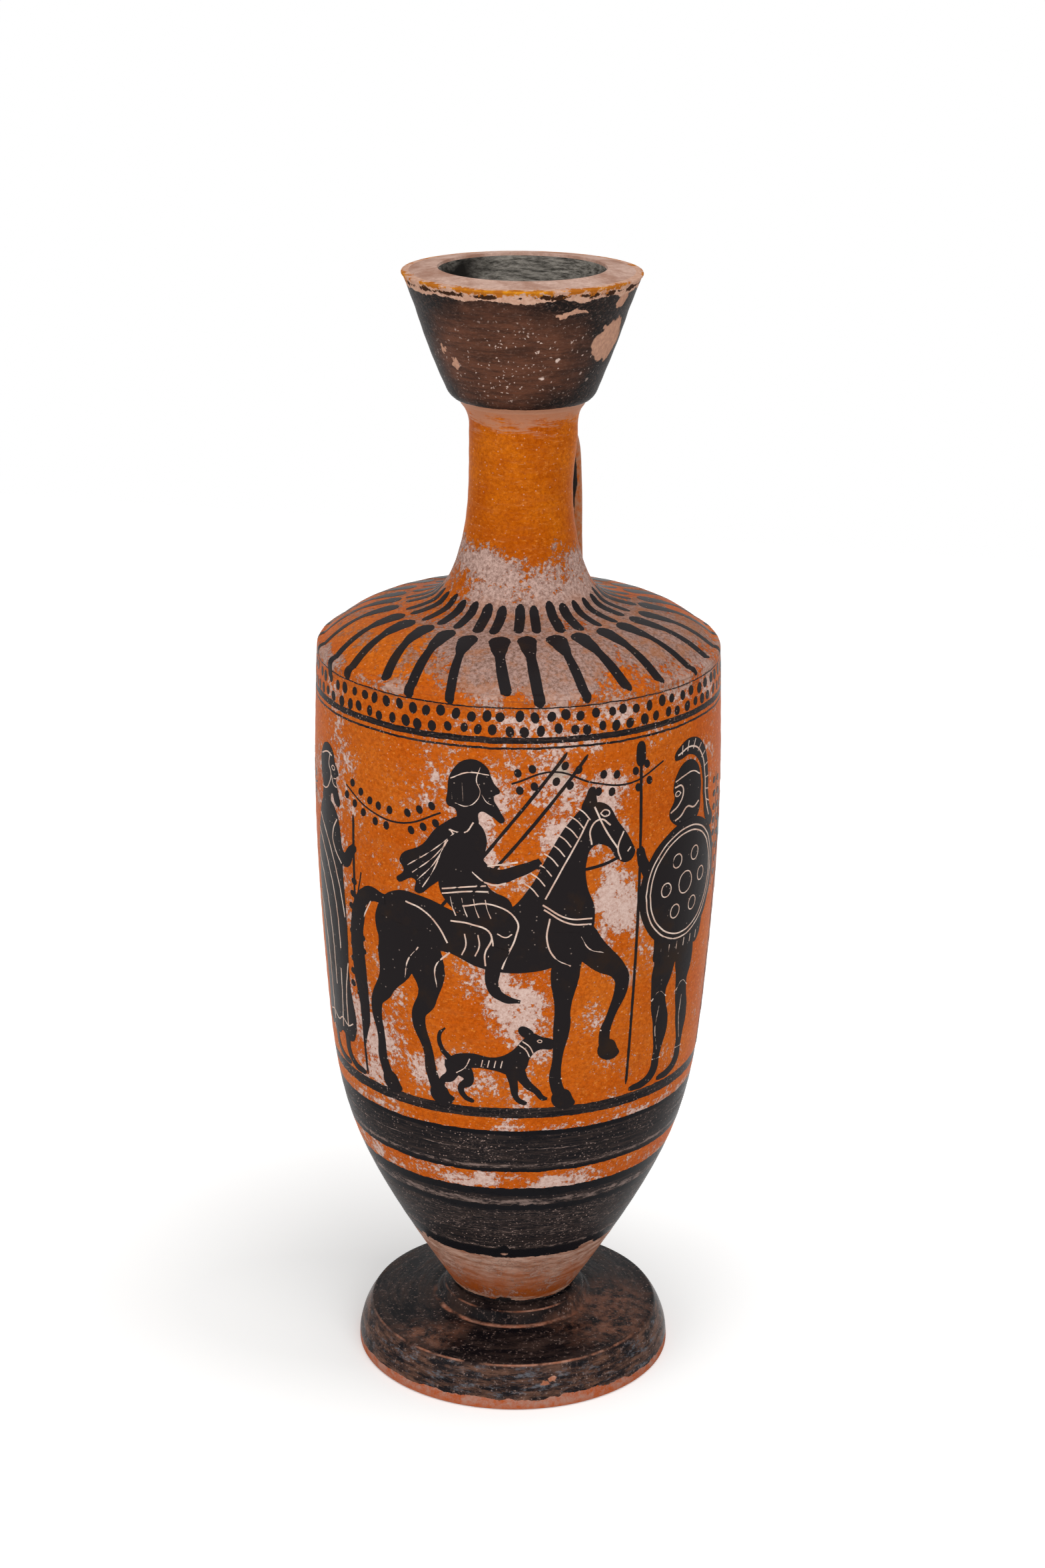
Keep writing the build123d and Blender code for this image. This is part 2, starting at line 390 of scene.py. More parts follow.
# Where the painter ran the brush round the turning body: low and high edge in mm above the floor
PAINTED_BANDS = (
    (0.0, 13.1),
    (26.2, 44.6),
    (48.5, 57.5),
    (60.2, 62.3),
    (128.75, 129.15),
    (129.75, 130.85),
    (135.75, 136.0),
)
# Pale lines where the brush left the slip thin, which also stand in for level reflections on the glossy
# bands:
# partly painted reflection
THIN_LINES_AND_REFLECTIONS = ((40.6, 41.9), (49.6, 50.2), (28.9, 29.3), (53.4, 53.6))
# Where the turning brush left a fine pale hatch
HATCHED = ((32.0, 38.8),)
# Lines where the brush left it full and black
FULL_LINES = ((25.6, 28.6), (39.2, 40.4), (42.8, 44.9), (48.2, 49.2), (56.6, 57.6))
# Clay left bare below the bands
LOW_CLAY = (13.1, 29.5)
GAP_CLAY = (44.6, 48.5)
FOOT_JOINT = (12.8, 14.0)
CRUMBLED_EDGE = (57.4, 58.7)
RIDGE_STRIP = (134.9, 137.1)

# Places where the burnished skin is rubbed most: middle, and half sizes
RUBBED_SPOTS = (
    ((6.2, -35.5, 124.0), (13, 14, 8)),
    ((2.0, -36.0, 112.0), (8, 14, 8)),
    ((7.4, -34.4, 83.5), (7, 14, 10)),
    ((0.0, -34.0, 68.0), (9, 14, 6)),
    ((-27.0, -24.0, 112.0), (9, 9, 14)),
    ((18.0, -32.0, 117.0), (8, 12, 9)),
    ((25.0, -27.0, 99.0), (5, 8, 8)),
    ((-19.0, -28.0, 72.0), (6, 8, 8)),
    ((-2.0, -25.0, 142.0), (10, 11, 7)),
    ((14.1, -25.0, 46.0), (7, 8, 1.8)),
    ((2.9, -29.0, 46.6), (5, 8, 1.4)),
)
# Where the shoulder has lost nearly all its skin
SHOULDER_SPOTS = (((12.0, -24.0, 142.0), (13, 13, 8)), ((27.0, -10.0, 141.0), (13, 17, 8)))
# Where the ridge is scuffed
RIDGE_SCUFFS = (((-29.0, -19.0, 137.2), (7, 9, 1.1)), ((-17.0, -31.0, 137.0), (10, 6, 0.9)))
BEIGE_SPOTS = (
    ((25.2, -25.4, 85.5), (1.5, 3.0, 1.9)),
    ((14.6, -32.4, 124.6), (1.3, 3.0, 1.6)),
    ((27.6, -22.6, 96.5), (0.8, 2.0, 0.8)),
)

# Heights over which the clay changes its tone, its rubbing and how the brush took
NECK_TONE = span(138.0, 150.0)
SHOULDER_RUB = span(134.0, 139.0)
NECK_RUB = span(145.5, 149.0)
NECK_FOOT = span(158.0, 153.0)
ABOVE_RIDGE = span(139.0, 147.5, 0.02)
SHOULDER_LOW = 137.5
WHOLE_NECK = span(157.0, 160.0)
UNDER_MOUTH = span(173.5, 179.5, -0.35, 0.35)
LOW_WASH = span(15.0, 27.0, -0.3, 0.5)
BRUSH_BREAK = span(60.0, 40.0, 0.6, 1.4)
LOW_EDGE = span(34.0, 31.0, most=-1.0)
# How much crumbling wears the skin through, and how much of a wash or of handling shows
WORN_THROUGH = span(0.622, 0.642)
UNDER_MOUTH_SHOWS = span(1.2, 1.45, most=0.8)
LOW_WASH_SHOWS = span(0.2, 0.8, most=0.9)
HANDLING_SHOWS = span(0.42, 0.58, 0.35)

# Grain of the crumbling skin, of the washes over it and of the brush
FINE_CRUMBLE = grains(0.9, 8.0, 0.8)
SLOW_CRUMBLE = grains(8, 4.0, 0.6)
WASH = grains(5, 7.0, 0.7)
STREAKY_WASH = grains(7, 8.0, 0.75)
WASH_STREAKS = (1, 1, 6)
WASH_BREAK = 2.4
BRUSH_SWAY = grains(30, 2.0)
BRUSH_EDGE = grains(2.5, 6.0, 0.65)
HANDLED = grains(16, 3.0)

# Satin clay, matt rubs that lie a little deeper, glossier slip
CLAY_ROUGH = span(0, 1, 0.42, 0.85)
BAND_ROUGH = span(0, 1, 0.28, 0.45)
RUB_SUNK = -0.6

# A material's patches: size in mm, the noise where they start and where they are full, and the noise's
# detail, roughness and stretch
CLAY_PATCHES = {
    "tone": (16, 0.35, 0.65, 4.0),
    "grain": (0.6, 0.36, 0.66, 6.0, 0.8),
    "light_grain": (0.9, 0.54, 0.66, 6.0, 0.8, (1, 1, 1.8)),
    "turning": (9, 0.45, 0.75, 6.0, 0.7, (1, 1, 12)),
    "scored": (4, 0.60, 0.72, 6.0, 0.75, (1, 1, 9)),
    "warm": (4, 0.46, 0.60, 8.0, 0.78),
    "low_streaks": (5, 0.36, 0.64, 7.0, 0.72, (1, 1, 5)),
    "notch": (9, 0.55, 0.57),
    "streaks": (8, 0.42, 0.68, 7.0, 0.7, (1, 1, 16)),
    "hairs": (3, 0.48, 0.70, 7.0, 0.75, (1, 1, 14)),
    "broken": (3, 0.44, 0.60, 8.0, 0.8, (1, 1, 3)),
    "sparse": (7, 0.40, 0.62, 4.0, 0.6, (1, 1, 3)),
    "scratches": (0.55, 0.54, 0.70, 5.0, 0.8, (1, 1, 1.6)),
    "hatch": (1.6, 0.52, 0.72, 6.0, 0.8, (1, 1, 7)),
}


def rubbing(tree, place, height):
    """How far soil and hands have rubbed the skin: crumbling patches, most at the known places."""
    neck_foot = add(tree, "MapRange", {"Value": height, **NECK_FOOT})
    above_ridge = add(tree, "MapRange", {"Value": height, **ABOVE_RIDGE})
    shoulder = add(tree, "Math", {0: height, 1: SHOULDER_LOW}, operation="GREATER_THAN")
    above_ridge = add(tree, "Math", {0: above_ridge, 1: shoulder}, operation="MULTIPLY")
    rub = 0.0
    for mask, weight in (
        (add(tree, "TexNoise", {"Vector": place, **FINE_CRUMBLE}), 0.62),
        (add(tree, "TexNoise", {"Vector": place, **SLOW_CRUMBLE}), 0.48),
        (patches(tree, place, RUBBED_SPOTS, ragged=7.0, soft=0.6), 0.11),
        (patches(tree, place, SHOULDER_SPOTS, ragged=7.0, soft=0.5), 0.17),
        (patches(tree, place, RIDGE_SCUFFS, ragged=1.5, soft=0.5), 0.13),
        (add(tree, "Math", {0: neck_foot, 1: above_ridge}, operation="MULTIPLY"), 0.105),
        (add(tree, "MapRange", {"Value": height, **WHOLE_NECK}), -0.09),
        (bands(tree, height, CRUMBLED_EDGE), 0.05),
        (bands(tree, height, LOW_CLAY), 0.05),
        (bands(tree, height, GAP_CLAY), 0.038),
    ):
        rub = add(tree, "Math", {0: mask, 1: weight, 2: rub}, operation="MULTIPLY_ADD")
    return rub


def orange_skin(tree, place, height, marks):
    """The burnished skin: a slow change of tone and a fine grain, deeper and scored on the neck."""
    neck = add(tree, "MapRange", {"Value": height, **NECK_TONE})
    return stained(
        tree,
        "#C5590C",
        ("#D06B1B", marks["tone"]),
        (stained(tree, "#B85602", ("#DA7710", marks["tone"])), neck),
        ("#8E3A05", marks["grain"], 0.7),
        ("#DB8434", marks["light_grain"], 0.75),
        ("#B4602A", marks["turning"], 0.45),
        ("#D79A66", marks["scored"], neck, 0.55),
        ("#D9A98E", specks(tree, place, spacing=0.8, size=0.34, share=0.4), 0.5),
    )


def rubbed_clay(tree, height, marks):
    """The clay under the skin: pinkish white on the side, grey-brown on shoulder and neck."""
    shoulder = stained(tree, "#B08F84", ("#6F5143", marks["grain"]), ("#A5673F", marks["warm"], 0.6))
    neck = stained(tree, "#CBAB9F", ("#86665B", marks["grain"]))
    return stained(
        tree,
        "#D8BDB2",
        ("#BB9587", marks["grain"]),
        (shoulder, add(tree, "MapRange", {"Value": height, **SHOULDER_RUB})),
        (neck, add(tree, "MapRange", {"Value": height, **NECK_RUB})),
    )


def washes(tree, place, height, marks):
    """Stains of worn clay: pink under the mouth and near the foot, a pale joint, beige spots."""
    streaky = add(tree, "VectorMath", {0: place, 1: WASH_STREAKS}, operation="MULTIPLY")
    streaky = add(tree, "TexNoise", {"Vector": streaky, **STREAKY_WASH})
    under_mouth = add(tree, "MapRange", {"Value": height, **UNDER_MOUTH})
    under_mouth = add(tree, "Math", {0: streaky, 1: WASH_BREAK, 2: under_mouth}, operation="MULTIPLY_ADD")
    under_mouth = add(tree, "MapRange", {"Value": under_mouth, **UNDER_MOUTH_SHOWS})
    low_clay = bands(tree, height, LOW_CLAY)
    low_wash = add(tree, "MapRange", {"Value": height, **LOW_WASH})
    wash = add(tree, "TexNoise", {"Vector": place, **WASH})
    low_wash = add(tree, "Math", {0: low_wash, 1: wash}, operation="ADD")
    low_wash = add(tree, "MapRange", {"Value": low_wash, **LOW_WASH_SHOWS})
    return (
        ("#B98468", under_mouth),
        ("#8A4724", low_clay, 0.6),
        (stained(tree, "#BE9C8B", ("#8C604C", marks["low_streaks"])), low_wash, low_clay),
        ("#C8A48E", bands(tree, height, FOOT_JOINT), marks["low_streaks"]),
        ("#B9A596", patches(tree, place, BEIGE_SPOTS, ragged=2.5, soft=0.25)),
    )


def brush_height(tree, place, height, ragged, notch):
    """Height as an unsteady brush kept it: swayed, broken at the edges and notched at the lowest."""
    sway = add(tree, "TexNoise", {"Vector": place, **BRUSH_SWAY})
    sway = add(tree, "Math", {0: sway, 1: height}, operation="ADD")
    shake = add(tree, "Math", {0: ragged, 1: NOISE_MIDDLE}, operation="SUBTRACT")
    break_up = add(tree, "MapRange", {"Value": height, **BRUSH_BREAK})
    brush = add(tree, "Math", {0: shake, 1: break_up, 2: sway}, operation="MULTIPLY_ADD")
    brush = add(tree, "Math", {0: brush, 1: NOISE_MIDDLE}, operation="SUBTRACT")
    low_edge = add(tree, "MapRange", {"Value": height, **LOW_EDGE})
    return add(tree, "Math", {0: notch, 1: low_edge, 2: brush}, operation="MULTIPLY_ADD")


def band_slip(tree, place, brush, marks):
    """The bands' slip: its colour with pale flecks and thin lines, the lines partly painted reflection, and
    the streaks of the brush.
    """
    full = bands(tree, brush, *FULL_LINES)
    lean = add(tree, "Math", {0: 1.0, 1: full}, operation="SUBTRACT")
    streaks = add(tree, "Math", {0: marks["streaks"], 1: marks["hairs"]}, operation="MAXIMUM")
    streaks = add(tree, "Math", {0: streaks, 1: lean}, operation="MULTIPLY")
    scratches = add(tree, "Math", {0: marks["scratches"], 1: marks["sparse"]}, operation="MULTIPLY")
    flecks = specks(tree, place, spacing=0.6, size=0.3, share=0.5)
    pale = add(tree, "Math", {0: flecks, 1: scratches}, operation="MAXIMUM")
    handled = add(tree, "TexNoise", {"Vector": place, **HANDLED})
    handled = add(tree, "MapRange", {"Value": handled, **HANDLING_SHOWS})
    pale = add(tree, "Math", {0: pale, 1: handled}, operation="MULTIPLY")
    # Pale thin lines, where the slip is thin and as painted reflection, and a fine pale hatch
    for lines, mark, share in ((THIN_LINES_AND_REFLECTIONS, "broken", 0.48), (HATCHED, "hatch", 0.55)):
        thin = add(tree, "Math", {0: bands(tree, brush, *lines), 1: marks[mark]}, operation="MULTIPLY")
        thin = add(tree, "Math", {0: thin, 1: share}, operation="MULTIPLY")
        pale = add(tree, "Math", {0: pale, 1: thin}, operation="MAXIMUM")
    return stained(tree, "#171619", ("#392F2C", streaks), ("#AE948A", pale, lean)), streaks


def burnished_clay():
    """Attic clay burnished and fired orange, with brushed black bands: satin, and matt where rubbed."""
    material, tree, place, marks = new_material("burnished_attic_clay", CLAY_PATCHES)
    height, _ = measured(tree, place)
    rub = rubbing(tree, place, height)
    worn = add(tree, "MapRange", {"Value": rub, **WORN_THROUGH}, interpolation_type="SMOOTHSTEP")
    ragged = add(tree, "TexNoise", {"Vector": place, **BRUSH_EDGE})
    brush = brush_height(tree, place, height, ragged, marks["notch"])
    band = bands(tree, brush, *PAINTED_BANDS)
    slip_colour, streaks = band_slip(tree, place, brush, marks)
    colour = stained(
        tree,
        orange_skin(tree, place, height, marks),
        (rubbed_clay(tree, height, marks), worn),
        *washes(tree, place, height, marks),
        ("#6E4630", bands(tree, height, RIDGE_STRIP), marks["streaks"], 0.6),
        (slip_colour, band),
    )
    clay_rough = add(tree, "MapRange", {"Value": worn, **CLAY_ROUGH})
    slip_rough = add(tree, "MapRange", {"Value": streaks, **BAND_ROUGH})
    rough = add(tree, "Mix", {0: band, 2: clay_rough, 3: slip_rough})
    bump = add(tree, "Math", {0: worn, 1: RUB_SUNK, 2: ragged}, operation="MULTIPLY_ADD")
    close_material(tree, colour, rough, bump, bump_depth=0.05, specular=0.02)
    return material


SLIP_PATCHES = {"thin": (11, 0.52, 0.70, 6.0, 0.65), "worn": (2.2, 0.66, 0.78, 8.0, 0.8)}
SLIP_GRAIN = grains(0.9, 4.0)
SLIP_ROUGH = span(0, 1, 0.26, 0.45)


def black_slip():
    """Black slip of the figures: blue-black where thick, brown where thin, flecked and rubbed."""
    material, tree, place, marks = new_material("black_gloss_slip", SLIP_PATCHES)
    flecks = specks(tree, place, spacing=0.9, size=0.32, share=0.35)
    pale = add(tree, "Math", {0: flecks, 1: marks["worn"]}, operation="MAXIMUM")
    colour = stained(tree, "#231F20", ("#2E231D", marks["thin"]), ("#A9968B", pale, 0.5))
    rough = add(tree, "MapRange", {"Value": marks["thin"], **SLIP_ROUGH})
    grain = add(tree, "TexNoise", {"Vector": place, **SLIP_GRAIN})
    close_material(tree, colour, rough, grain, bump_depth=0.02, specular=0.015)
    return material


INCISED_PATCHES = {"uneven": (2.0, 0.3, 0.7)}


def incised_clay():
    """The pale clay that a graver bares: matt, pinkish white, a little uneven."""
    material, tree, _, marks = new_material("incised_clay", INCISED_PATCHES)
    colour = stained(tree, "#E2CDBF", ("#C9A390", marks["uneven"]))
    close_material(tree, colour, roughness=0.8, bump=marks["uneven"], bump_depth=0.02, specular=0.2)
    return material


# Where the mouth's slip is thin, where it is flecked, and where it flaked off: middle, and half sizes
MOUTH_FRONT = ((0.6, -16.8, 189.6), (14.6, 12.0, 9.6))
MOUTH_BELT = ((3.0, -15.0, 189.5), (14.0, 12.0, 6.5))
MOUTH_FLAKES = (
    ((16.2, -4.9, 192.0), (5.0, 3.9, 3.7)),
    ((11.9, -14.6, 198.1), (3.3, 3.0, 0.55)),
    ((18.4, -5.4, 199.2), (2.0, 1.7, 1.5)),
    ((16.2, -8.3, 194.8), (0.6, 0.8, 0.7)),
    ((-8.6, -13.0, 188.4), (0.6, 1.2, 1.3)),
    ((-10.4, -12.4, 190.4), (0.5, 1.0, 0.9)),
    ((7.5, -13.0, 184.0), (0.3, 0.8, 0.7)),
)
# The part of the cup that stayed black
CUP_SOOT = ((-13.0, 5.5, 200.6), (6.0, 6.0, 2.4))
# Flecks of three sizes: spacing, size and share
MOUTH_FLECKS = ((0.8, 0.34, 0.70), (1.4, 0.52, 0.40), (3.2, 0.9, 0.16))
FLECK_SWAY = grains(0.6, 3.0)
FLECK_JITTER = 0.95
# How much of the thinning comes in clouds, and how much of the flecking in the belt
CLOUD_SHARE = 0.65
BELT_SHARE = 0.9
# Rings of the lip's edge and of the line just under it: radius and height
LIP_EDGE = (20.5, 202.1)
LIP_UNDER_EDGE = (20.1, 201.0)
# The rubbed lip: its edge's grain, how ragged it is, that edge, and where its top begins
EDGE_GRAIN = grains(4, 7.0, 0.68)
LIP_RAGGED = 3.0
LIP_LOW = 201.7
LIP_TOP = 202.3
# How ragged the slip ends above the neck, and where
HEEL_RAGGED = 0.8
MOUTH_SLIP_LOW = 180.75
# The cup's wall: its radius by height, and where it ends under the lip
CUP_WALL = span(184.2, 202.6, 9.7, 17.4)
CUP_TOP = 202.4
# Satin slip, and matt where it is off or rubbed, and how deep a flake lies
MOUTH_ROUGH = span(0, 1, 0.40, 0.80)
FLAKE_SUNK = -1.0
MOUTH_PATCHES = {
    "clouds": (7, 0.36, 0.62, 8.0, 0.75, (1, 1, 7)),
    "grit": (0.7, 0.50, 0.70, 6.0, 0.8, (1, 1, 2)),
    "spread": (5, 0.34, 0.46),
    "grain": (0.8, 0.3, 0.7, 5.0, 0.7),
    "dusty": (8, 0.36, 0.64, 8.0, 0.72),
    "ochre": (2.5, 0.4, 0.6, 6.0),
    "scratch": (1.2, 0.36, 0.66, 8.0, 0.8, (0.35, 0.8, 2.5)),
}


def mouth_flecks(tree, place, spread):
    """A mask of pale flecks of three sizes, thickest in a belt across the front."""
    jitter = add(tree, "TexNoise", {"Vector": place, **FLECK_SWAY}, out=1)
    jitter = add(tree, "VectorMath", {0: jitter, "Scale": FLECK_JITTER * MM}, operation="SCALE")
    uneven = add(tree, "VectorMath", {0: place, 1: jitter}, operation="ADD")
    flecks = 0.0
    for row in MOUTH_FLECKS:
        flecks = add(tree, "Math", {0: flecks, 1: specks(tree, uneven, *row)}, operation="MAXIMUM")
    belt = patches(tree, place, (MOUTH_BELT,), ragged=6.0, soft=0.5)
    belt = add(tree, "Math", {0: belt, 1: spread}, operation="MULTIPLY")
    belt = add(tree, "Math", {0: belt, 1: BELT_SHARE, 2: 1 - BELT_SHARE}, operation="MULTIPLY_ADD")
    return add(tree, "Math", {0: flecks, 1: belt}, operation="MULTIPLY")


def lip_stains(tree, place, height, radius, ragged, marks):
    """Stains of the lip, a rubbed pink band, a matt top, dark and ochre lines, and the band's mask."""
    band_edge = add(tree, "Math", {0: ragged, 1: LIP_RAGGED, 2: height}, operation="MULTIPLY_ADD")
    band = add(tree, "Math", {0: band_edge, 1: LIP_LOW}, operation="GREATER_THAN")
    top = add(tree, "Math", {0: height, 1: LIP_TOP}, operation="GREATER_THAN")
    dusty = stained(tree, "#DAB9AA", ("#A67D6A", marks["dusty"]), ("#A07A69", marks["grain"], 0.45))
    ochre = stained(tree, "#D98D1C", ("#B4681F", marks["ochre"]))
    stains = [(stained(tree, "#D6AF99", ("#BE8F78", marks["grain"])), band), (dusty, top)]
    # What crumbling left of each line: tint, ring, the grain's size, and how far the grain reaches
    for tint, ring, size, amount, least in (
        ("#3A2418", LIP_UNDER_EDGE, 3.6, 4.0, -1.75),
        (ochre, LIP_EDGE, 5.0, 11.0, -5.3),
    ):
        crumbly = add(tree, "TexNoise", {"Vector": place, **grains(size, 8.0, 0.75)})
        reach = add(tree, "Math", {0: crumbly, 1: amount, 2: least}, operation="MULTIPLY_ADD")
        away = from_ring(tree, height, radius, *ring)
        stains.append((tint, add(tree, "Math", {0: reach, 1: away}, operation="GREATER_THAN")))
    return stains, band


def mouth_slip():
    """Brown-black slip of the mouth: thin at the front, flaked to bare clay, its lip rubbed pink."""
    material, tree, place, marks = new_material("worn_brown_black_slip", MOUTH_PATCHES)
    height, radius = measured(tree, place)
    # Brown where the slip is thin, at the front, and black to the sides, under the lip and at the bottom
    front = patches(tree, place, (MOUTH_FRONT,), ragged=6.0, soft=0.25)
    clouds = {0: marks["clouds"], 1: CLOUD_SHARE, 2: 1 - CLOUD_SHARE}
    thin = add(tree, "Math", clouds, operation="MULTIPLY_ADD")
    flakes = patches(tree, place, MOUTH_FLAKES, ragged=2.6, soft=0.05)
    ragged = add(tree, "TexNoise", {"Vector": place, **EDGE_GRAIN})
    lip, lip_band = lip_stains(tree, place, height, radius, ragged, marks)
    # The heel, where the slip stops short of the neck
    heel = add(tree, "Math", {0: ragged, 1: HEEL_RAGGED, 2: height}, operation="MULTIPLY_ADD")
    heel_edge = MOUTH_SLIP_LOW + HEEL_RAGGED * NOISE_MIDDLE
    heel = add(tree, "Math", {0: heel, 1: heel_edge}, operation="LESS_THAN")
    # The scratched grey-black cup inside
    wall = add(tree, "MapRange", {"Value": height, **CUP_WALL})
    inside = add(tree, "Math", {0: radius, 1: wall}, operation="LESS_THAN")
    below_lip = add(tree, "Math", {0: height, 1: CUP_TOP}, operation="LESS_THAN")
    inside = add(tree, "Math", {0: inside, 1: below_lip}, operation="MULTIPLY")
    soot = patches(tree, place, (CUP_SOOT,), ragged=4.0, soft=0.6)
    colour = stained(
        tree,
        "#1C1716",
        ("#664030", front, thin),
        ("#806154", marks["grit"], 0.5),
        ("#D6BDB1", mouth_flecks(tree, place, marks["spread"])),
        (stained(tree, "#CB9C82", ("#B08470", marks["grain"])), flakes),
        *lip,
        ("#B98468", heel),
        (stained(tree, "#373531", ("#9B958C", marks["scratch"]), ("#1F1D1B", soot)), inside),
    )
    matt = add(tree, "Math", {0: lip_band, 1: flakes}, operation="MAXIMUM")
    matt = add(tree, "Math", {0: matt, 1: inside}, operation="MAXIMUM")
    rough = add(tree, "MapRange", {"Value": matt, **MOUTH_ROUGH})
    bump = add(tree, "Math", {0: flakes, 1: FLAKE_SUNK, 2: marks["grain"]}, operation="MULTIPLY_ADD")
    close_material(tree, colour, rough, bump, bump_depth=0.06, specular=0.03)
    return material


# Rubbed rings of the foot, its upper edge, the groove round the collar and the collar's top, pale with wear
# and partly painted highlight along these edges: radius, height and half width
FOOT_RINGS_AND_HIGHLIGHTS = ((26.75, 7.95, 0.36), (14.7, 9.25, 0.6), (13.0, 11.45, 0.32))
RING_CORE = 0.3
# Where the foot's slip is brown, the front where its rings of wear and painted highlight show, and where it
# was
# scraped: middle, and half sizes
FOOT_BROWN = (((19.0, -3.5, 8.5), (8, 12, 3)), ((-12.0, -19.0, 8.5), (6, 5, 3)))
FOOT_FRONT = ((3.0, -17.0, 9.0), (24, 15, 14))
FOOT_SCRAPES = (((11.9, -25.6, 4.9), (0.8, 2.0, 0.45)), ((13.1, -25.0, 5.7), (0.8, 2.0, 0.4)))
# Heights where the top turns into the side, and where the floor has chafed the bare clay
FOOT_TURN = span(8.0, 7.2)
FLOOR_CHAFE = span(1.3, 0.3, most=0.6)
# The bare band along the floor: its edge's grain, how ragged it is, how much lower at the front, its height
BARE_GRAIN = grains(5, 7.0, 0.65)
BARE_RAGGED = 2.2
BARE_DROP = -0.9
BARE_HEIGHT = 2.8
BARE_ROUGH = 0.7
FOOT_GLOSS = span(0, 1, 0.22, 0.42)
# The brush went round and round on the top, so the mottle is drawn out that way
MOTTLE_DRAWN = 0.22
MOTTLE = (3, 0.42, 0.66, 8.0, 0.72)
FOOT_PATCHES = {
    "brown_break": (2.6, 0.40, 0.62, 8.0, 0.78),
    # Brown streaks on the side that partly stand in for its highlights, and bluish patches of painted sheen
    "side_streaks_and_highlights": (5, 0.40, 0.66, 8.0, 0.75, (1, 1, 5)),
    "painted_bluish_sheen": (4, 0.52, 0.66, 8.0, 0.75, (1, 1, 3)),
    "chafed": (0.9, 0.55, 0.68, 6.0, 0.8),
    "grain": (2.0, 0.36, 0.64, 7.0, 0.78),
    "broken": (5, 0.38, 0.58, 7.0),
}


def foot_mottle(tree, place, radius):
    """A mask of brown mottling that follows the brush round the foot."""
    slow = add(tree, "VectorMath", {0: place, 1: [MOTTLE_DRAWN] * 3}, operation="MULTIPLY")
    metres = add(tree, "Math", {0: radius, 1: MM}, operation="MULTIPLY")
    outwards = add(tree, "CombineXYZ", {2: metres})
    return blotches(tree, add(tree, "VectorMath", {0: slow, 1: outwards}, operation="ADD"), *MOTTLE)


def foot_rubs_and_highlights(tree, place, height, radius, front, broken):
    """A mask of the foot's rubbed rings, partly painted highlight, and its scrapes."""
    rubbed = 0.0
    for *ring, width in FOOT_RINGS_AND_HIGHLIGHTS:
        away = from_ring(tree, height, radius, *ring)
        line = add(tree, "MapRange", {"Value": away, **span(width, width * RING_CORE)})
        rubbed = add(tree, "Math", {0: rubbed, 1: line}, operation="MAXIMUM")
    for limit in (broken, front):
        rubbed = add(tree, "Math", {0: rubbed, 1: limit}, operation="MULTIPLY")
    scrape = patches(tree, place, FOOT_SCRAPES, ragged=1.2, soft=0.2)
    return add(tree, "Math", {0: rubbed, 1: scrape}, operation="MAXIMUM")


def foot_slip():
    """Black slip of the foot, glossy and mottled brown, with rubbed edges and bare clay along the floor;
    its rings and side are partly painted highlight and sheen.
    """
    material, tree, place, marks = new_material("foot_black_slip", FOOT_PATCHES)
    height, radius = measured(tree, place)
    mottle = foot_mottle(tree, place, radius)
    brown = patches(tree, place, FOOT_BROWN, ragged=8.0, soft=0.5)
    # The side: dark slip with brown brush streaks that are partly painted highlight, and bluish patches of
    # painted sheen
    side = stained(tree, "#171518", ("#694B3D", marks["side_streaks_and_highlights"]), ("#606167", marks["painted_bluish_sheen"]))
    flecks = specks(tree, place, spacing=0.8, size=0.34, share=0.5)
    flecks = add(tree, "Math", {0: flecks, 1: marks["chafed"]}, operation="MAXIMUM")
    front = patches(tree, place, (FOOT_FRONT,), ragged=5.0, soft=0.3)
    # Rings of wear and painted highlight, kept to the front, with the scrapes
    rubbed = foot_rubs_and_highlights(tree, place, height, radius, front, marks["broken"])
    ragged = add(tree, "TexNoise", {"Vector": place, **BARE_GRAIN})
    edge = add(tree, "Math", {0: ragged, 1: BARE_RAGGED, 2: height}, operation="MULTIPLY_ADD")
    edge = add(tree, "Math", {0: front, 1: BARE_DROP, 2: edge}, operation="MULTIPLY_ADD")
    bare = add(tree, "Math", {0: edge, 1: BARE_HEIGHT}, operation="LESS_THAN")
    floor_chafe = add(tree, "MapRange", {"Value": height, **FLOOR_CHAFE})
    colour = stained(
        tree,
        "#100E11",
        ("#3A2C27", mottle),
        ("#77503F", brown, marks["brown_break"]),
        (side, add(tree, "MapRange", {"Value": height, **FOOT_TURN})),
        ("#88726A", flecks, 0.8),
        (stained(tree, "#BE8C76", ("#9C6046", marks["grain"])), rubbed),
        (stained(tree, "#A9522A", ("#A77F70", marks["grain"]), ("#AC5428", floor_chafe)), bare),
    )
    pale = add(tree, "Math", {0: rubbed, 1: bare}, operation="MAXIMUM")
    gloss = add(tree, "MapRange", {"Value": mottle, **FOOT_GLOSS})
    rough = add(tree, "Mix", {0: pale, 2: gloss, 3: BARE_ROUGH})
    close_material(tree, colour, rough, mottle, bump_depth=0.06, specular=0.03)
    return material


# The strap's face towards the neck is kept dark down to a given height, as painted shade in the gap between
# strap and neck, and the strap is worn low down and along its edges
STRAP_SHADED_FACE = span(21.7, 21.1, most=0.6)
STRAP_SHADE_LOW = span(158.5, 161.0)
STRAP_LOW = span(162.0, 150.0, most=0.25)
STRAP_EDGES = span(5.5 * MM, 6.2 * MM)
STRAP_CRUMBLE = grains(5, 8.0, 0.7)
STRAP_WORN = span(0.62, 0.68)
STRAP_ROUGH = span(0, 1, 0.34, 0.6)
HANDLE_PATCHES = {"mottle": (5, 0.4, 0.66, 5.0, 0.6, (1, 1, 0.5)), "grain": (0.9, 0.3, 0.7)}


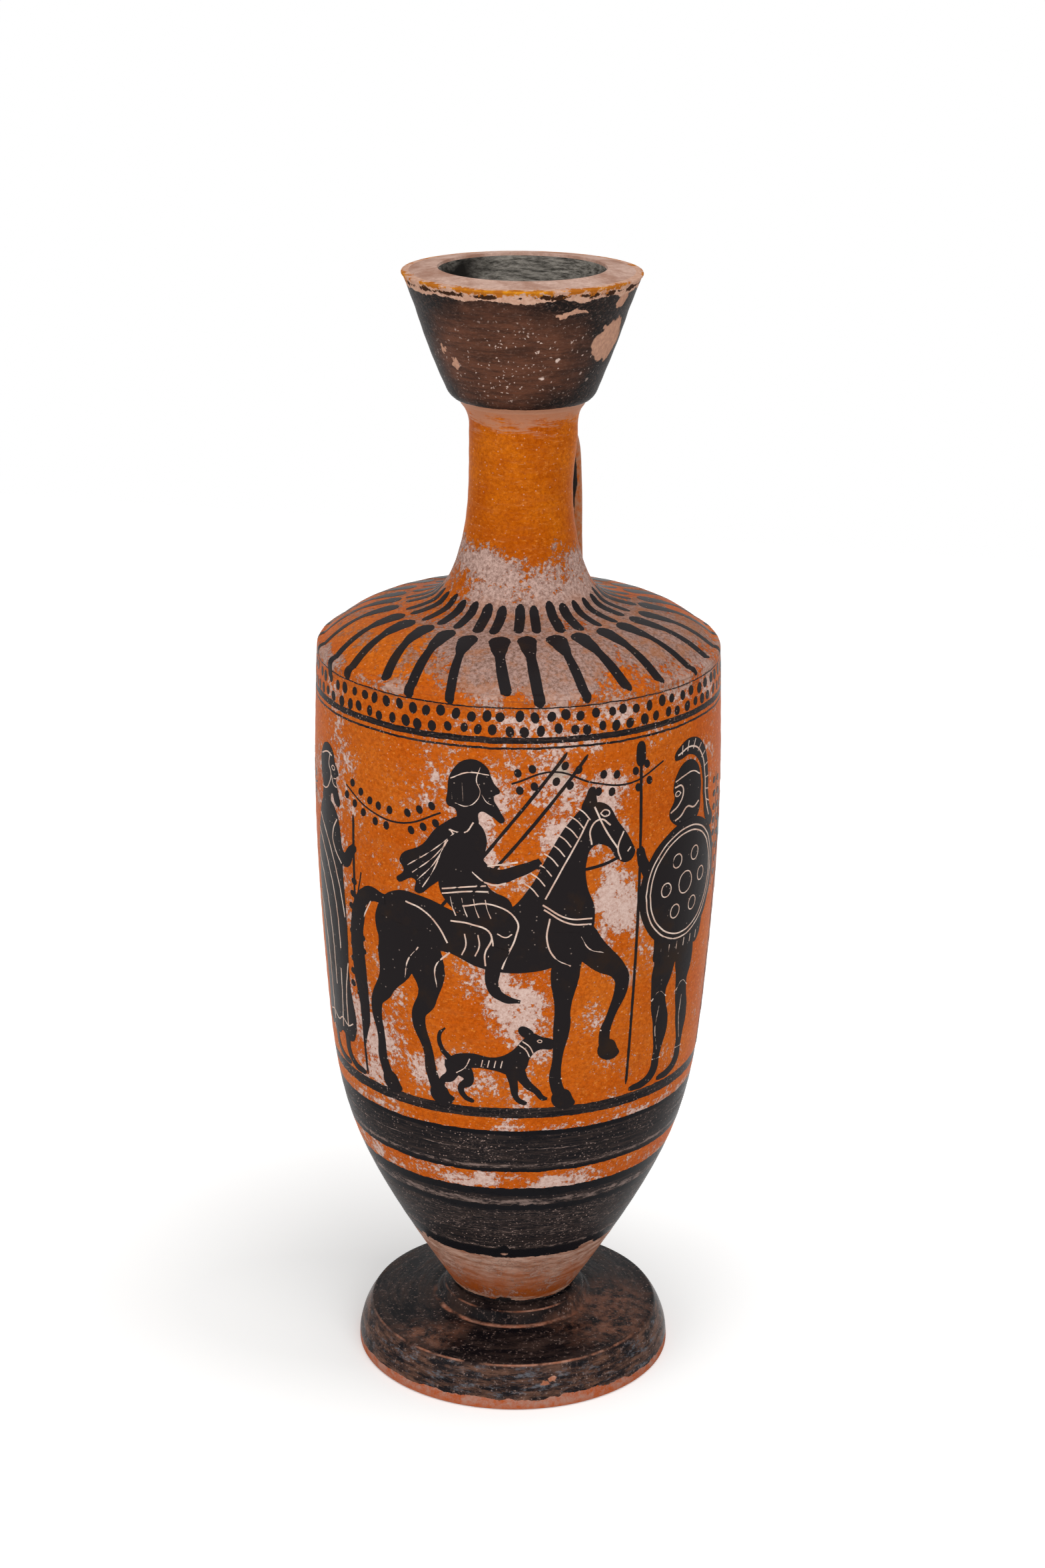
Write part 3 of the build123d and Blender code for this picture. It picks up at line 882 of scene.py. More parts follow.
def handle_slip():
    """Brown-black slip brushed over the strap, rubbed through to orange clay low down and at its edges,
    kept dark towards the neck as painted shade.
    """
    material, tree, place, marks = new_material("handle_black_slip", HANDLE_PATCHES)
    height, radius = measured(tree, place)
    # Painted shade: the face towards the neck stays dark, where the gap between strap and neck is shaded
    inner = add(tree, "MapRange", {"Value": radius, **STRAP_SHADED_FACE})
    shade_low = add(tree, "MapRange", {"Value": height, **STRAP_SHADE_LOW})
    inner = add(tree, "Math", {0: inner, 1: shade_low}, operation="MULTIPLY")
    low = add(tree, "MapRange", {"Value": height, **STRAP_LOW})
    sides = add(tree, "VectorMath", {0: place, 1: (1, 0, 0)}, operation="MULTIPLY")
    sides = add(tree, "VectorMath", {0: sides}, out=1, operation="LENGTH")
    sides = add(tree, "MapRange", {"Value": sides, **STRAP_EDGES})
    rub = add(tree, "TexNoise", {"Vector": place, **STRAP_CRUMBLE})
    for wear in (low, sides):
        rub = add(tree, "Math", {0: rub, 1: wear}, operation="ADD")
    rub = add(tree, "Math", {0: rub, 1: inner}, operation="SUBTRACT")
    worn = add(tree, "MapRange", {"Value": rub, **STRAP_WORN})
    bare_clay = stained(tree, "#B0591A", ("#A87A5C", marks["grain"]))
    colour = stained(tree, "#1A1410", ("#3A281C", marks["mottle"]), (bare_clay, worn))
    rough = add(tree, "MapRange", {"Value": worn, **STRAP_ROUGH})
    close_material(tree, colour, rough, marks["grain"], bump_depth=0.03, specular=0.1)
    return material


clay = burnished_clay()
slip = black_slip()
bare_line = incised_clay()


def make_turned(name, outline, material, slot, *nodes, around, closed=False):
    """A turned piece as a hand leaves it, in the place of CAD nodes."""
    bm = turned(outline, around, closed)
    for vert in bm.verts:
        vert.co = hand_made(vert.co)
    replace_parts(finished(name, bm, material), *nodes)


# The body: how far its hollow starts below the neck and stops above its base
HOLLOW_TOP = 4.1
HOLLOW_FLOOR = 7.2

hollow_top = low_of("neck") - HOLLOW_TOP - HAIR
inner_line = hollow_points(body_tree, hollow_top, low_of("body") + HOLLOW_FLOOR, step=2.0)
body_outline = [
    (0, low_of("body")),
    *side_line,
    *ridge_line,
    *shoulder_line,
    (BORE_RADIUS, high_of("body")),
    *inner_line,
    (0, inner_line[-1][1] - HAIR),
]
make_turned("thrown_body", body_outline, clay, "painted_clay", "body", around=240)

# The neck: how deep it is let into the shoulder, at the bore and at its edge
NECK_BORE_SUNK = 1.0
NECK_EDGE_SUNK = 1.5

neck_outline = [
    *neck_line,
    (BORE_RADIUS, high_of("neck")),
    (BORE_RADIUS, high_of("body") - NECK_BORE_SUNK),
    (reach_of("neck"), high_of("body") - NECK_EDGE_SUNK),
]
make_turned(
    "thrown_neck", neck_outline, clay, "reserved_clay", "neck", "neck_slip_bed", around=180, closed=True
)

# The mouth: its lip's height above its base, how high the lip's edge is, and the cup's edge and floor
LIP_RISE = 22.0
LIP_HIGH = 0.9
LIP_INSET = 0.55
CUP_RADIUS = 14.65
CUP_RIM = 0.05
CUP_FLOOR = 4.05

mouth_low = low_of("mouth")
lip_z = mouth_low + LIP_RISE
mouth_outline = [
    (radius_of(neck_tree, NECK_END), NECK_END),
    *side_points(mouth_tree, mouth_low + JUST, lip_z - LIP_HIGH - HAIR, step=0.5),
    *side_points(mouth_tree, lip_z - LIP_HIGH, lip_z - JUST, step=0.12),
    *top_points(mouth_tree, reach_of("mouth") - LIP_INSET, CUP_RADIUS, step=0.45),
    *hollow_points(mouth_tree, high_of("mouth") - CUP_RIM, mouth_low + CUP_FLOOR, step=0.7),
    (BORE_RADIUS, NECK_END),
]
make_turned(
    "thrown_mouth", mouth_outline, mouth_slip(), "black_gloss", "mouth", "mouth_slip_bed", around=220,
    closed=True,
)

# The foot: the ring that it rests on, its side, its top's edge, and the collar with the cuts round it
RESTING_RING = 7.0
RESTING_EDGE = 0.4
FOOT_SIDE = (0.3, 7.95)
FOOT_TOP_RADIUS = 26.5
COLLAR_BASE = 9.5
MOULDING_SOFTENING = 9
COLLAR_CUTS = ((0.55, 12.1, 0.55), (-0.2, 11.2, 0.45))


def softened(outline, rounds):
    """An outline with its inner points drawn towards their neighbours, as a wet sponge rounds it."""
    for _ in range(rounds):
        inner = [mixed(mixed(a, c, 0.5), b, 0.5) for a, b, c in zip(outline, outline[1:], outline[2:])]
        outline = [outline[0]] + inner + [outline[-1]]
    return outline


def grooved(point):
    """A point of the collar moved to the groove that the turner cut round it, or to the bead below it."""
    r, z = point
    for depth, middle, half in COLLAR_CUTS:
        r -= depth * math.exp(-(((z - middle) / half) ** 2))
    return r, z


collar_radius = radius_of(foot_tree, COLLAR_BASE)
foot_moulding = softened(
    top_points(foot_tree, FOOT_TOP_RADIUS, collar_radius + HAIR, step=0.3)
    + side_points(foot_tree, COLLAR_BASE, high_of("foot") - JUST, step=0.15),
    MOULDING_SOFTENING,
)
bed_top = high_of("foot_slip_bed") + HAIR
foot_outline = [
    (0, underside_of(foot_tree, JUST)),
    (reach_of("foot") - RESTING_RING, 0.0),
    (reach_of("foot") - RESTING_EDGE, 0.0),
    *side_points(foot_tree, *FOOT_SIDE, step=0.35),
    *[grooved(point) for point in foot_moulding],
    (reach_of("foot_slip_bed"), high_of("foot")),
    (reach_of("foot_slip_bed"), bed_top),
    (0, bed_top),
]
make_turned("turned_foot", foot_outline, foot_slip(), "black_gloss", "foot", "foot_slip_bed", around=220)

# The handle: a pulled strap, its roots spread where they were luted on
HANDLE_WIDTH = 13.0
HANDLE_THICKNESS = 4.8
HANDLE_SUNK = 0.5
HANDLE_ROOT = 0.4
HANDLE_FREE = 0.5
STRAP_RESOLUTION = 14
# Its route: how far out from its back, how far above its foot or its top, and how wide
ROUTE_FROM_FOOT = ((0.2, -3.0, 1.06), (0.0, 0.2, 1.03), (-0.4, 8.0, 1.0))
ROUTE_FROM_TOP = ((-1.3, -11.6, 1.0), (-4.5, -3.2, 1.0), (-12.3, 0.0, 1.0))
ROUTE_END = 2.0
ROUTE_END_WIDTH = 1.02


def make_handle():
    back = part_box("handle")[1].y / MM - HANDLE_THICKNESS / 2
    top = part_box("handle")[1].z / MM - HANDLE_THICKNESS / 2
    foot = top_of(body_tree, back + HANDLE_ROOT)
    profile = bpy.data.curves.new("strap_section", "CURVE")
    corners = ((1, 0), (0, 1), (-1, 0), (0, -1))
    oval = [(x * HANDLE_WIDTH / 2, y * HANDLE_THICKNESS / 2, 0, 1.0) for x, y in corners]
    smooth_line(profile, oval, cyclic=True)
    section = bpy.data.objects.new("strap_section", profile)
    scene.collection.objects.link(section)
    strap = bpy.data.curves.new("strap", "CURVE")
    strap.dimensions = "3D"
    strap.resolution_u = STRAP_RESOLUTION
    strap.bevel_mode = "OBJECT"
    strap.bevel_object = section
    strap.use_fill_caps = True
    route = [(0, back + out, foot + up, wide) for out, up, wide in ROUTE_FROM_FOOT]
    route += [(0, back + out, top + up, wide) for out, up, wide in ROUTE_FROM_TOP]
    smooth_line(strap, route + [(0, ROUTE_END, top, ROUTE_END_WIDTH)], cyclic=False)
    bm = meshed(strap)
    bpy.data.objects.remove(section)
    neck_low = low_of("neck") + HANDLE_FREE
    for vert in bm.verts:
        skin = radius_of(neck_tree, vert.co.z) - HANDLE_SUNK if vert.co.z > neck_low else 0.0
        if vert.co.xy.length < skin:
            vert.co.y = math.sqrt(skin**2 - vert.co.x**2)
    bmesh.ops.remove_doubles(bm, verts=bm.verts, dist=STRAP_WELD)
    bmesh.ops.dissolve_degenerate(bm, edges=bm.edges, dist=STRAP_WELD)
    bmesh.ops.scale(bm, verts=bm.verts, vec=(MM, MM, MM))
    bmesh.ops.recalc_face_normals(bm, faces=bm.faces)
    piece = finished("strap_handle", bm, handle_slip())
    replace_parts(piece, "handle", "handle_upper_slip_pad", "handle_lower_slip_pad")


make_handle()

# The skin that the painter drew on: its outline by length of run from the base
runs = [0.0]
for (r0, z0), (r1, z1) in zip(paint_line, paint_line[1:]):
    runs.append(runs[-1] + math.hypot(r1 - r0, z1 - z0))
side_heights = [z for r, z in side_line]
top_radii = [-r for r, z in paint_line[len(side_line) :]]


def slope_at(k):
    """The skin's normal at a point of its outline: outwards and up."""
    (r0, z0), (r1, z1) = paint_line[max(k - 1, 0)], paint_line[min(k + 1, len(paint_line) - 1)]
    length = math.hypot(r1 - r0, z1 - z0)
    return (z1 - z0) / length, -(r1 - r0) / length


slopes = [slope_at(k) for k in range(len(paint_line))]


def found(values, value):
    """Where a value lies among rising values: the step it is in, and how far along that."""
    k = min(max(bisect.bisect_right(values, value) - 1, 0), len(values) - 2)
    return k, (value - values[k]) / (values[k + 1] - values[k])


def on_skin(angle, run, lift):
    """The point at that angle and run, lift above the skin, in metres, and the skin's normal there."""
    k, share = found(runs, run)
    r, z = mixed(paint_line[k], paint_line[k + 1], share)
    out, up = mixed(slopes[k], slopes[k + 1], share)
    around = Vector((math.sin(angle), -math.cos(angle), 0))
    normal = (around * out + Vector((0, 0, up))).normalized()
    point = hand_made((around * r + Vector((0, 0, z))) * MM)
    return point + normal * lift * MM, normal


def on_side(u, v):
    """A place on the unrolled side, u mm right of the front and v mm above the ground line."""
    k, share = found(side_heights, GROUND_Z + v)
    return FRONT + u / FRIEZE_RADIUS, runs[k] + share * (runs[k + 1] - runs[k])


def on_top(x, y):
    """A place on the shoulder seen from above, in mm, that carries on down the side past the ridge."""
    radius = math.hypot(x, y)
    angle = math.atan2(x, -y)
    edge = -top_radii[0]
    if radius >= edge:
        return angle, runs[len(side_line)] - (radius - edge)
    k, share = found(top_radii, -radius)
    first = len(side_line) + k
    return angle, runs[first] + share * (runs[first + 1] - runs[first])


LINE_RESOLUTION = 6
STROKE_RESOLUTION = 2
GRID_CUT = 1e-5


def drawn(lines, filled):
    """A flat drawing in mm as a bmesh: filled outlines become thin plates, open lines become strokes."""
    curve = bpy.data.curves.new("drawing", "CURVE")
    curve.resolution_u = LINE_RESOLUTION
    curve.dimensions = "2D" if filled else "3D"
    curve.fill_mode = "BOTH" if filled else "FULL"
    curve.extrude = PLATE if filled else 0.0
    curve.bevel_depth = 0.0 if filled else 1.0
    curve.bevel_resolution = STROKE_RESOLUTION
    curve.use_fill_caps = True
    for line in lines:
        points = [(x, y, 0, *(half or (1.0,))) for x, y, *half in line]
        smooth_line(curve, points, cyclic=filled).radius_interpolation = "EASE"
    bm = meshed(curve)
    bmesh.ops.remove_doubles(bm, verts=bm.verts, dist=WELD)
    bmesh.ops.recalc_face_normals(bm, faces=bm.faces)
    if filled:
        for axis in (Vector((1, 0, 0)), Vector((0, 1, 0))):
            places = [vert.co.dot(axis) for vert in bm.verts]
            for place in steps(min(places), max(places), PLATE_GRID)[1:-1]:
                bmesh.ops.bisect_plane(
                    bm,
                    geom=bm.verts[:] + bm.edges[:] + bm.faces[:],
                    dist=GRID_CUT,
                    plane_co=axis * place,
                    plane_no=axis,
                )
    return bm


def painted(name, layers, place, material=slip, relief=SLIP_RELIEF):
    """Lays flat drawings on the skin, each a little over the one before, as one piece of paint."""
    whole = bmesh.new()
    normals = []
    for k, layer in enumerate(layers):
        for vert in layer.verts:
            angle, run = place(vert.co.x, vert.co.y)
            lift = -SLIP_SUNK
            if vert.co.z > 0:
                lift = (relief + k * SLIP_LAYER) * (1 - math.exp(-vert.co.z / SLIP_EDGE))
            vert.co, normal = on_skin(angle, run, lift)
            normals.append(normal)
        flat = bpy.data.meshes.new("layer")
        layer.to_mesh(flat)
        layer.free()
        whole.from_mesh(flat)
        bpy.data.meshes.remove(flat)
    finished(name, whole, material, normals)


# Shoulder ornament: a ring of bars at the neck, and a ring of long tongues with round heads. The ranges are
# of half widths, of the radii where a stroke starts and ends, and of how far its end bends sideways
ORNAMENT_SEED = 7
HANDLE_GAP = math.radians(24)
STROKE_STRAY = 0.10
TONGUES = 29
TONGUE_TURN = 0.35
TONGUE_HEADS = (1.85, 2.15)
TONGUE_TAILS = (0.92, 1.18)
TONGUE_STARTS = (20.7, 21.6)
TONGUE_ENDS = (35.0, 35.4, 35.8, 36.2, 36.6, 38.2)
TONGUE_BENDS = (1.2, 3.4)
TONGUE_WAIST = 28.0
TONGUE_LOW = 31.0
BARS = 33
BAR_HALVES = (0.88, 1.15)
BAR_STARTS = (13.1, 13.7)
BAR_ENDS = (19.8, 20.7)
BAR_BENDS = (-0.6, 0.6)
BAR_MIDDLE = 16.6


def away_from_handle(angle):
    """How far an angle lies from the handle, which sits at half a turn from -Y."""
    return abs((angle % math.tau) - math.pi)


def brushed(angle, points, bend):
    """A radial stroke seen from above: points of reach and half width, its outer end bent sideways."""
    stroke = []
    first, last = points[0][0], points[-1][0]
    for reach, half in points:
        turn = angle + bend * ((reach - first) / (last - first)) ** 2 / reach
        stroke.append((reach * math.sin(turn), -reach * math.cos(turn), half))
    return stroke


def tongue(hand, angle):
    """A long stroke with a round head and an even tail."""
    head = hand.uniform(*TONGUE_HEADS)
    tail = hand.uniform(*TONGUE_TAILS)
    start = hand.uniform(*TONGUE_STARTS)
    end = hand.choice(TONGUE_ENDS)
    points = (
        (start, 0.3),
        (start + 0.4, head * 0.6),
        (start + 0.9, head * 0.87),
        (start + 1.8, head),
        (start + 2.8, head * 0.9),
        (start + 4.0, (head + tail) * 0.52),
        (TONGUE_WAIST, tail * 0.9),
        *[(reach, tail) for reach in steps(TONGUE_LOW, end - 0.8, 0.5)],
        (end - 0.3, tail * 0.6),
        (end, 0.25),
    )
    return brushed(angle, points, hand.uniform(*TONGUE_BENDS))


def bar(hand, angle):
    """A short even stroke with rounded ends."""
    half = hand.uniform(*BAR_HALVES)
    start = hand.uniform(*BAR_STARTS)
    end = hand.uniform(*BAR_ENDS)
    points = (
        (start, 0.3),
        (start + 0.3, half * 0.7),
        (start + 0.8, half * 0.95),
        (BAR_MIDDLE, half),
        (end - 0.9, half * 0.95),
        (end - 0.3, half * 0.65),
        (end, 0.3),
    )
    return brushed(angle, points, hand.uniform(*BAR_BENDS))


def make_shoulder_ornament():
    hand = random.Random(ORNAMENT_SEED)
    for name, stroke, count, turn in (
        ("shoulder_tongues", tongue, TONGUES, TONGUE_TURN),
        ("shoulder_bars", bar, BARS, 0.0),
    ):
        strokes = []
        for k in range(count):
            angle = FRONT + math.tau * (k + turn + hand.uniform(-STROKE_STRAY, STROKE_STRAY)) / count
            if away_from_handle(angle) >= HANDLE_GAP:
                strokes.append(stroke(hand, angle))
        painted(name, [drawn(strokes, False)], on_top)


make_shoulder_ornament()

# Dots: low pats of slip, each a few faces
DOT_SEED = 11
DOT_SIDES = 10
DOT_TOP = 0.86
DOT_ROWS = (134.4, 131.95)
DOTS_ROUND = 84
DOT_ASIDE = (-0.35, 0.35)
DOT_RISE = (-0.3, 0.3)
DOT_WIDE = (0.72, 0.97)
DOT_TALL = (0.92, 1.2)
DOT_LEAN = (-0.35, 0.35)


def dotted(spots):
    """A flat bmesh of oval dots: place, half width and half height in mm, and lean."""
    bm = bmesh.new()
    for u, v, wide, tall, lean in spots:
        place = Matrix.Translation((u, v, 0)) @ Matrix.Rotation(lean, 4, "Z")
        place = place @ Matrix.Diagonal((wide, tall, 1, 1))
        bmesh.ops.create_cone(
            bm, cap_ends=True, segments=DOT_SIDES, radius1=1.0, radius2=DOT_TOP, depth=PLATE, matrix=place
        )
    return bm


def make_ridge_dots():
    hand = random.Random(DOT_SEED)
    spots = []
    for row, z in enumerate(DOT_ROWS):
        for k in range(DOTS_ROUND):
            u = (k + row / 2 - DOTS_ROUND / 2) * math.tau * FRIEZE_RADIUS / DOTS_ROUND
            aside, rise, wide, tall, lean = [
                hand.uniform(*spread) for spread in (DOT_ASIDE, DOT_RISE, DOT_WIDE, DOT_TALL, DOT_LEAN)
            ]
            spots.append((u + aside, z - GROUND_Z + rise, wide, tall, lean))
    painted("ridge_dots", [dotted(spots)], on_side)


make_ridge_dots()


def round_line(middle, radius, count):
    """Points round a circle, for a smooth closed line."""
    turns = [math.tau * k / count for k in range(count)]
    return [(middle[0] + radius * math.cos(t), middle[1] + radius * math.sin(t)) for t in turns]


class Drawing:
    """A figure of the frieze: black shapes, brush strokes and incised lines, in mm round its own middle."""

    def __init__(self, name, at, facing=1, scale=1.0):
        self.name = name
        self.at = at
        self.facing = facing
        self.scale = scale
        self.shapes = []
        self.strokes = []
        self.cuts = []

    def placed(self, points):
        return [
            (self.at + self.facing * self.scale * u, self.scale * v, *[self.scale * half for half in rest])
            for u, v, *rest in points
        ]

    def shape(self, *points):
        self.shapes.append(self.placed(points))

    def brush(self, *points):
        self.strokes.append(self.placed(points))

    def cut(self, *points, width=INCISION):
        self.cuts.append([(u, v, width / 2) for u, v in self.placed(points)])

    def ring(self, middle, radius, count, width=INCISION):
        line = round_line(middle, radius, count)
        self.cut(*line, line[0], width=width)

    def finish(self):
        layers = [drawn([shape], True) for shape in self.shapes] + [drawn([s], False) for s in self.strokes]
        painted(self.name, layers, on_side)
        if self.cuts:
            lines = [drawn(self.cuts, False)]
            painted(self.name + "_incisions", lines, on_side, bare_line, INCISION_RELIEF)


def draw_horse(d):
    d.shape(
        (-20.2, 33.2), (-16.5, 36.6), (-11, 36.6), (-4, 34.6), (2.5, 35.6), (6.2, 39.5), (9.4, 45.6),
        (12.6, 50.6), (15.4, 53.0), (18.3, 53.0), (20.8, 49.6), (23.4, 45.6), (24.0, 43.6), (22.6, 42.4),
        (20.6, 43.4), (19.0, 45.6), (16.6, 46.0), (15.4, 43.4), (15.6, 39.4), (17.0, 35.0), (16.2, 30.2),
        (12.4, 26.6), (6.0, 24.8), (-1.5, 25.4), (-7.5, 27.6), (-12.0, 26.8), (-17.5, 25.0), (-20.6, 28.4),
    )
    d.shape((14.7, 52.0), (15.1, 54.4), (16.3, 56.0), (16.9, 54.2), (16.8, 52.4))
    d.brush(
        (13.2, 31.5, 3.6), (12.6, 24.5, 2.7), (12.2, 17.4, 1.5), (12.2, 15.0, 1.6), (11.5, 8.6, 0.95),
        (11.4, 4.6, 1.2), (13.0, 1.4, 1.25), (14.0, 0.9, 0.6),
    )
    d.brush(
        (14.2, 31.0, 3.4), (18.4, 26.6, 2.5), (22.4, 22.8, 1.6), (22.8, 20.8, 1.5), (20.8, 15.2, 0.95),
        (19.9, 12.2, 1.15), (20.6, 9.4, 1.25), (21.6, 8.6, 0.6),
    )
    d.brush(
        (-15.6, 31.0, 5.0), (-16.4, 25.0, 4.3), (-19.4, 18.6, 2.0), (-21.6, 15.4, 1.45), (-21.0, 9.0, 1.0),
        (-20.8, 4.8, 1.25), (-19.0, 1.4, 1.35), (-17.9, 0.9, 0.6),
    )
    d.brush(
        (-13.0, 30.0, 4.6), (-10.6, 24.4, 3.6), (-10.8, 18.6, 1.9), (-12.6, 15.2, 1.45), (-11.0, 9.0, 1.0),
        (-10.4, 4.8, 1.2), (-8.7, 1.4, 1.3), (-7.6, 0.9, 0.6),
    )
    d.brush(
        (-18.6, 34.4, 1.0), (-22.6, 34.2, 1.5), (-25.4, 29.0, 1.9), (-25.6, 20.0, 2.0), (-24.9, 12.0, 1.4),
        (-25.6, 6.5, 0.3),
    )
    for u, v in ((12.6, 1.2), (20.6, 9.2), (-19.4, 1.2), (-9.1, 1.2)):
        d.shape(
            (u - 1.5, v + 1.6), (u + 0.7, v + 1.9), (u + 1.9, v + 0.2), (u + 2.3, v - 1.0),
            (u - 1.4, v - 1.0),
        )
    # Mane, jaw, eye and bridle
    for k in range(9):
        share = k / 8
        u = 6.0 + 8.2 * share
        v = 40.6 + 12.4 * share - 1.6 * (share - 0.5) ** 2
        d.cut((u - 0.6, v + 0.2), (u + 0.6, v - 0.7), (u + 1.7, v - 2.1), width=0.28)
    d.cut((8.8, 37.6), (11.6, 43.0), (14.0, 47.4), (15.6, 50.6))
    d.cut((16.2, 46.3), (16.0, 49.0), (17.6, 50.4), (19.4, 49.2))
    d.cut((17.6, 51.4), (18.4, 51.9), (19.2, 51.2), (18.4, 50.8), (17.6, 51.4), width=0.28)
    d.cut((22.6, 44.2), (23.2, 44.9), width=0.3)
    d.cut((21.4, 43.0), (20.8, 45.0), (21.8, 47.8))
    d.cut((20.8, 45.0), (18.6, 48.4), (16.6, 52.6))
    # Breast strap, shoulder, flank, haunch and fetlocks
    d.cut((8.4, 36.6), (12.6, 34.0), (16.6, 33.6))
    d.cut((8.6, 35.8), (12.8, 33.1), (16.5, 32.6))
    d.cut((9.6, 34.2), (9.2, 30.4), (10.6, 27.2), (13.2, 25.6))
    d.cut((14.8, 30.6), (16.4, 28.2), (19.0, 27.2))
    d.cut((-7.0, 29.2), (-8.6, 32.0), (-11.4, 34.4), (-14.4, 35.2))
    d.cut((-6.6, 27.6), (-9.2, 24.6), (-9.0, 21.0))
    d.cut((-12.2, 27.6), (-14.4, 24.6), (-15.0, 21.6))
    for k in range(3):
        u = -4.6 + 2.2 * k
        d.cut((u, 27.4), (u + 0.7, 29.2), (u + 0.5, 31.2), width=0.3)
    for u, v in ((11.4, 5.6), (19.9, 13.2), (-20.8, 5.8), (-10.4, 5.8)):
        d.cut((u - 1.0, v), (u + 1.0, v - 0.4), width=0.3)
    for k in range(3):
        off = 0.55 * (k - 1)
        d.cut(
            (-22.4 + off, 33.4), (-24.9 + off, 28.4), (-25.3 + off, 20.0), (-25.0 + off / 2, 12.0),
            width=0.3,
        )


def draw_rider(d):
    d.shape(
        (-7.6, 37.2), (-8.4, 42.0), (-7.6, 47.4), (-5.4, 50.4), (-2.4, 50.6), (-0.6, 48.2), (-1.0, 43.6),
        (-0.2, 39.6), (3.4, 37.0), (3.0, 34.0), (-3.0, 34.0),
    )
    d.shape(
        (-4.9, 49.6), (-5.6, 52.4), (-6.9, 53.0), (-6.9, 55.0), (-6.2, 58.6), (-3.4, 60.8), (-0.7, 59.8),
        (0.2, 57.8), (0.6, 57.0), (1.5, 55.6), (0.6, 54.9), (1.5, 52.6), (2.1, 50.6), (0.2, 51.6),
        (-1.6, 52.2), (-2.0, 49.8),
    )
    d.brush(
        (-5.6, 48.2, 2.0), (-3.2, 44.4, 1.8), (0.6, 41.6, 1.4), (4.6, 42.6, 1.1), (7.0, 43.6, 0.9),
        (7.9, 44.2, 0.6),
    )
    d.brush((6.6, 43.2, 0.3), (12.4, 42.2, 0.3), (18.0, 42.6, 0.3), (21.4, 43.6, 0.3))
    d.shape(
        (-4.0, 50.8), (-8.0, 49.4), (-11.2, 45.6), (-15.4, 42.4), (-14.6, 40.6), (-16.0, 38.6),
        (-12.6, 39.4), (-12.4, 37.2), (-9.6, 38.8), (-7.4, 41.0), (-5.0, 46.0),
    )
    d.brush((1.8, 29.0, 2.0), (0.6, 25.0, 1.35), (0.7, 21.8, 1.1), (2.4, 20.2, 0.8), (5.0, 19.6, 0.35))
    d.brush((-9.8, 33.0, 0.3), (2.6, 49.6, 0.32), (11.6, 61.4, 0.32), (12.0, 62.0, 0.15))
    d.brush((-7.2, 33.0, 0.3), (5.2, 48.2, 0.32), (15.0, 60.8, 0.32), (15.4, 61.4, 0.15))
    # Leg over the horse, tunic, arm, cloak folds and face
    d.cut((-4.4, 36.0), (0.4, 36.6), (4.4, 33.8), (4.2, 31.2), (2.6, 27.2), (2.0, 25.4))
    d.cut((-0.7, 25.8), (-0.8, 27.8), (0.2, 31.4), (-3.2, 33.0), (-6.4, 33.2))
    d.cut((1.2, 31.6), (2.6, 31.0), (3.6, 31.6), width=0.28)
    d.cut((0.7, 29.0), (0.5, 26.0), (0.6, 23.0), width=0.28)
    d.cut((-0.3, 22.6), (0.8, 22.2), (1.8, 22.4), width=0.28)
    d.cut((-7.8, 38.6), (-3.6, 39.4), (-0.6, 39.8))
    d.cut((-7.8, 37.8), (-3.6, 38.6), (-0.2, 38.8))
    for k in range(4):
        u = -6.4 + 1.9 * k
        d.cut((u, 37.4), (u + 0.3, 35.8), (u + 0.9, 34.2), width=0.28)
    d.cut((-6.4, 48.9), (-4.4, 46.0), (-1.6, 43.2), (0.8, 43.4), (4.4, 44.0))
    d.cut((-5.0, 45.6), (-2.6, 41.9), (0.4, 40.0), (2.6, 40.4))
    d.cut((-2.6, 50.4), (-4.0, 48.6), (-6.6, 48.8))
    for k in range(4):
        d.cut(
            (-5.6 - 0.5 * k, 48.4 - 0.5 * k), (-8.8 - 0.2 * k, 45.4 - 1.4 * k),
            (-13.9 + 0.9 * k, 41.6 - 1.1 * k), width=0.3,
        )
    d.cut((-1.3, 57.0), (-0.8, 57.25), (-0.3, 57.0), (-0.8, 56.8), (-1.3, 57.0), width=0.2)
    d.cut((-1.6, 59.6), (-2.2, 57.4), (-1.6, 55.6), (-2.2, 54.0), (-3.8, 53.0), (-5.6, 53.4), width=0.28)
    d.cut((0.7, 54.7), (-0.2, 54.6), width=0.24)
    d.cut((-1.4, 55.2), (-0.4, 53.8), (1.0, 53.4), width=0.26)
    d.cut((-6.4, 57.4), (-3.6, 58.6), (-0.2, 58.4), width=0.32)
    for k in range(3):
        d.cut((-6.3 + 0.9 * k, 56.4 + 0.2 * k), (-6.1 + 0.9 * k, 54.0 - 0.1 * k), width=0.22)


SHIELD_MIDDLE = (-0.4, 37.6)
SHIELD_RADIUS = 11.6


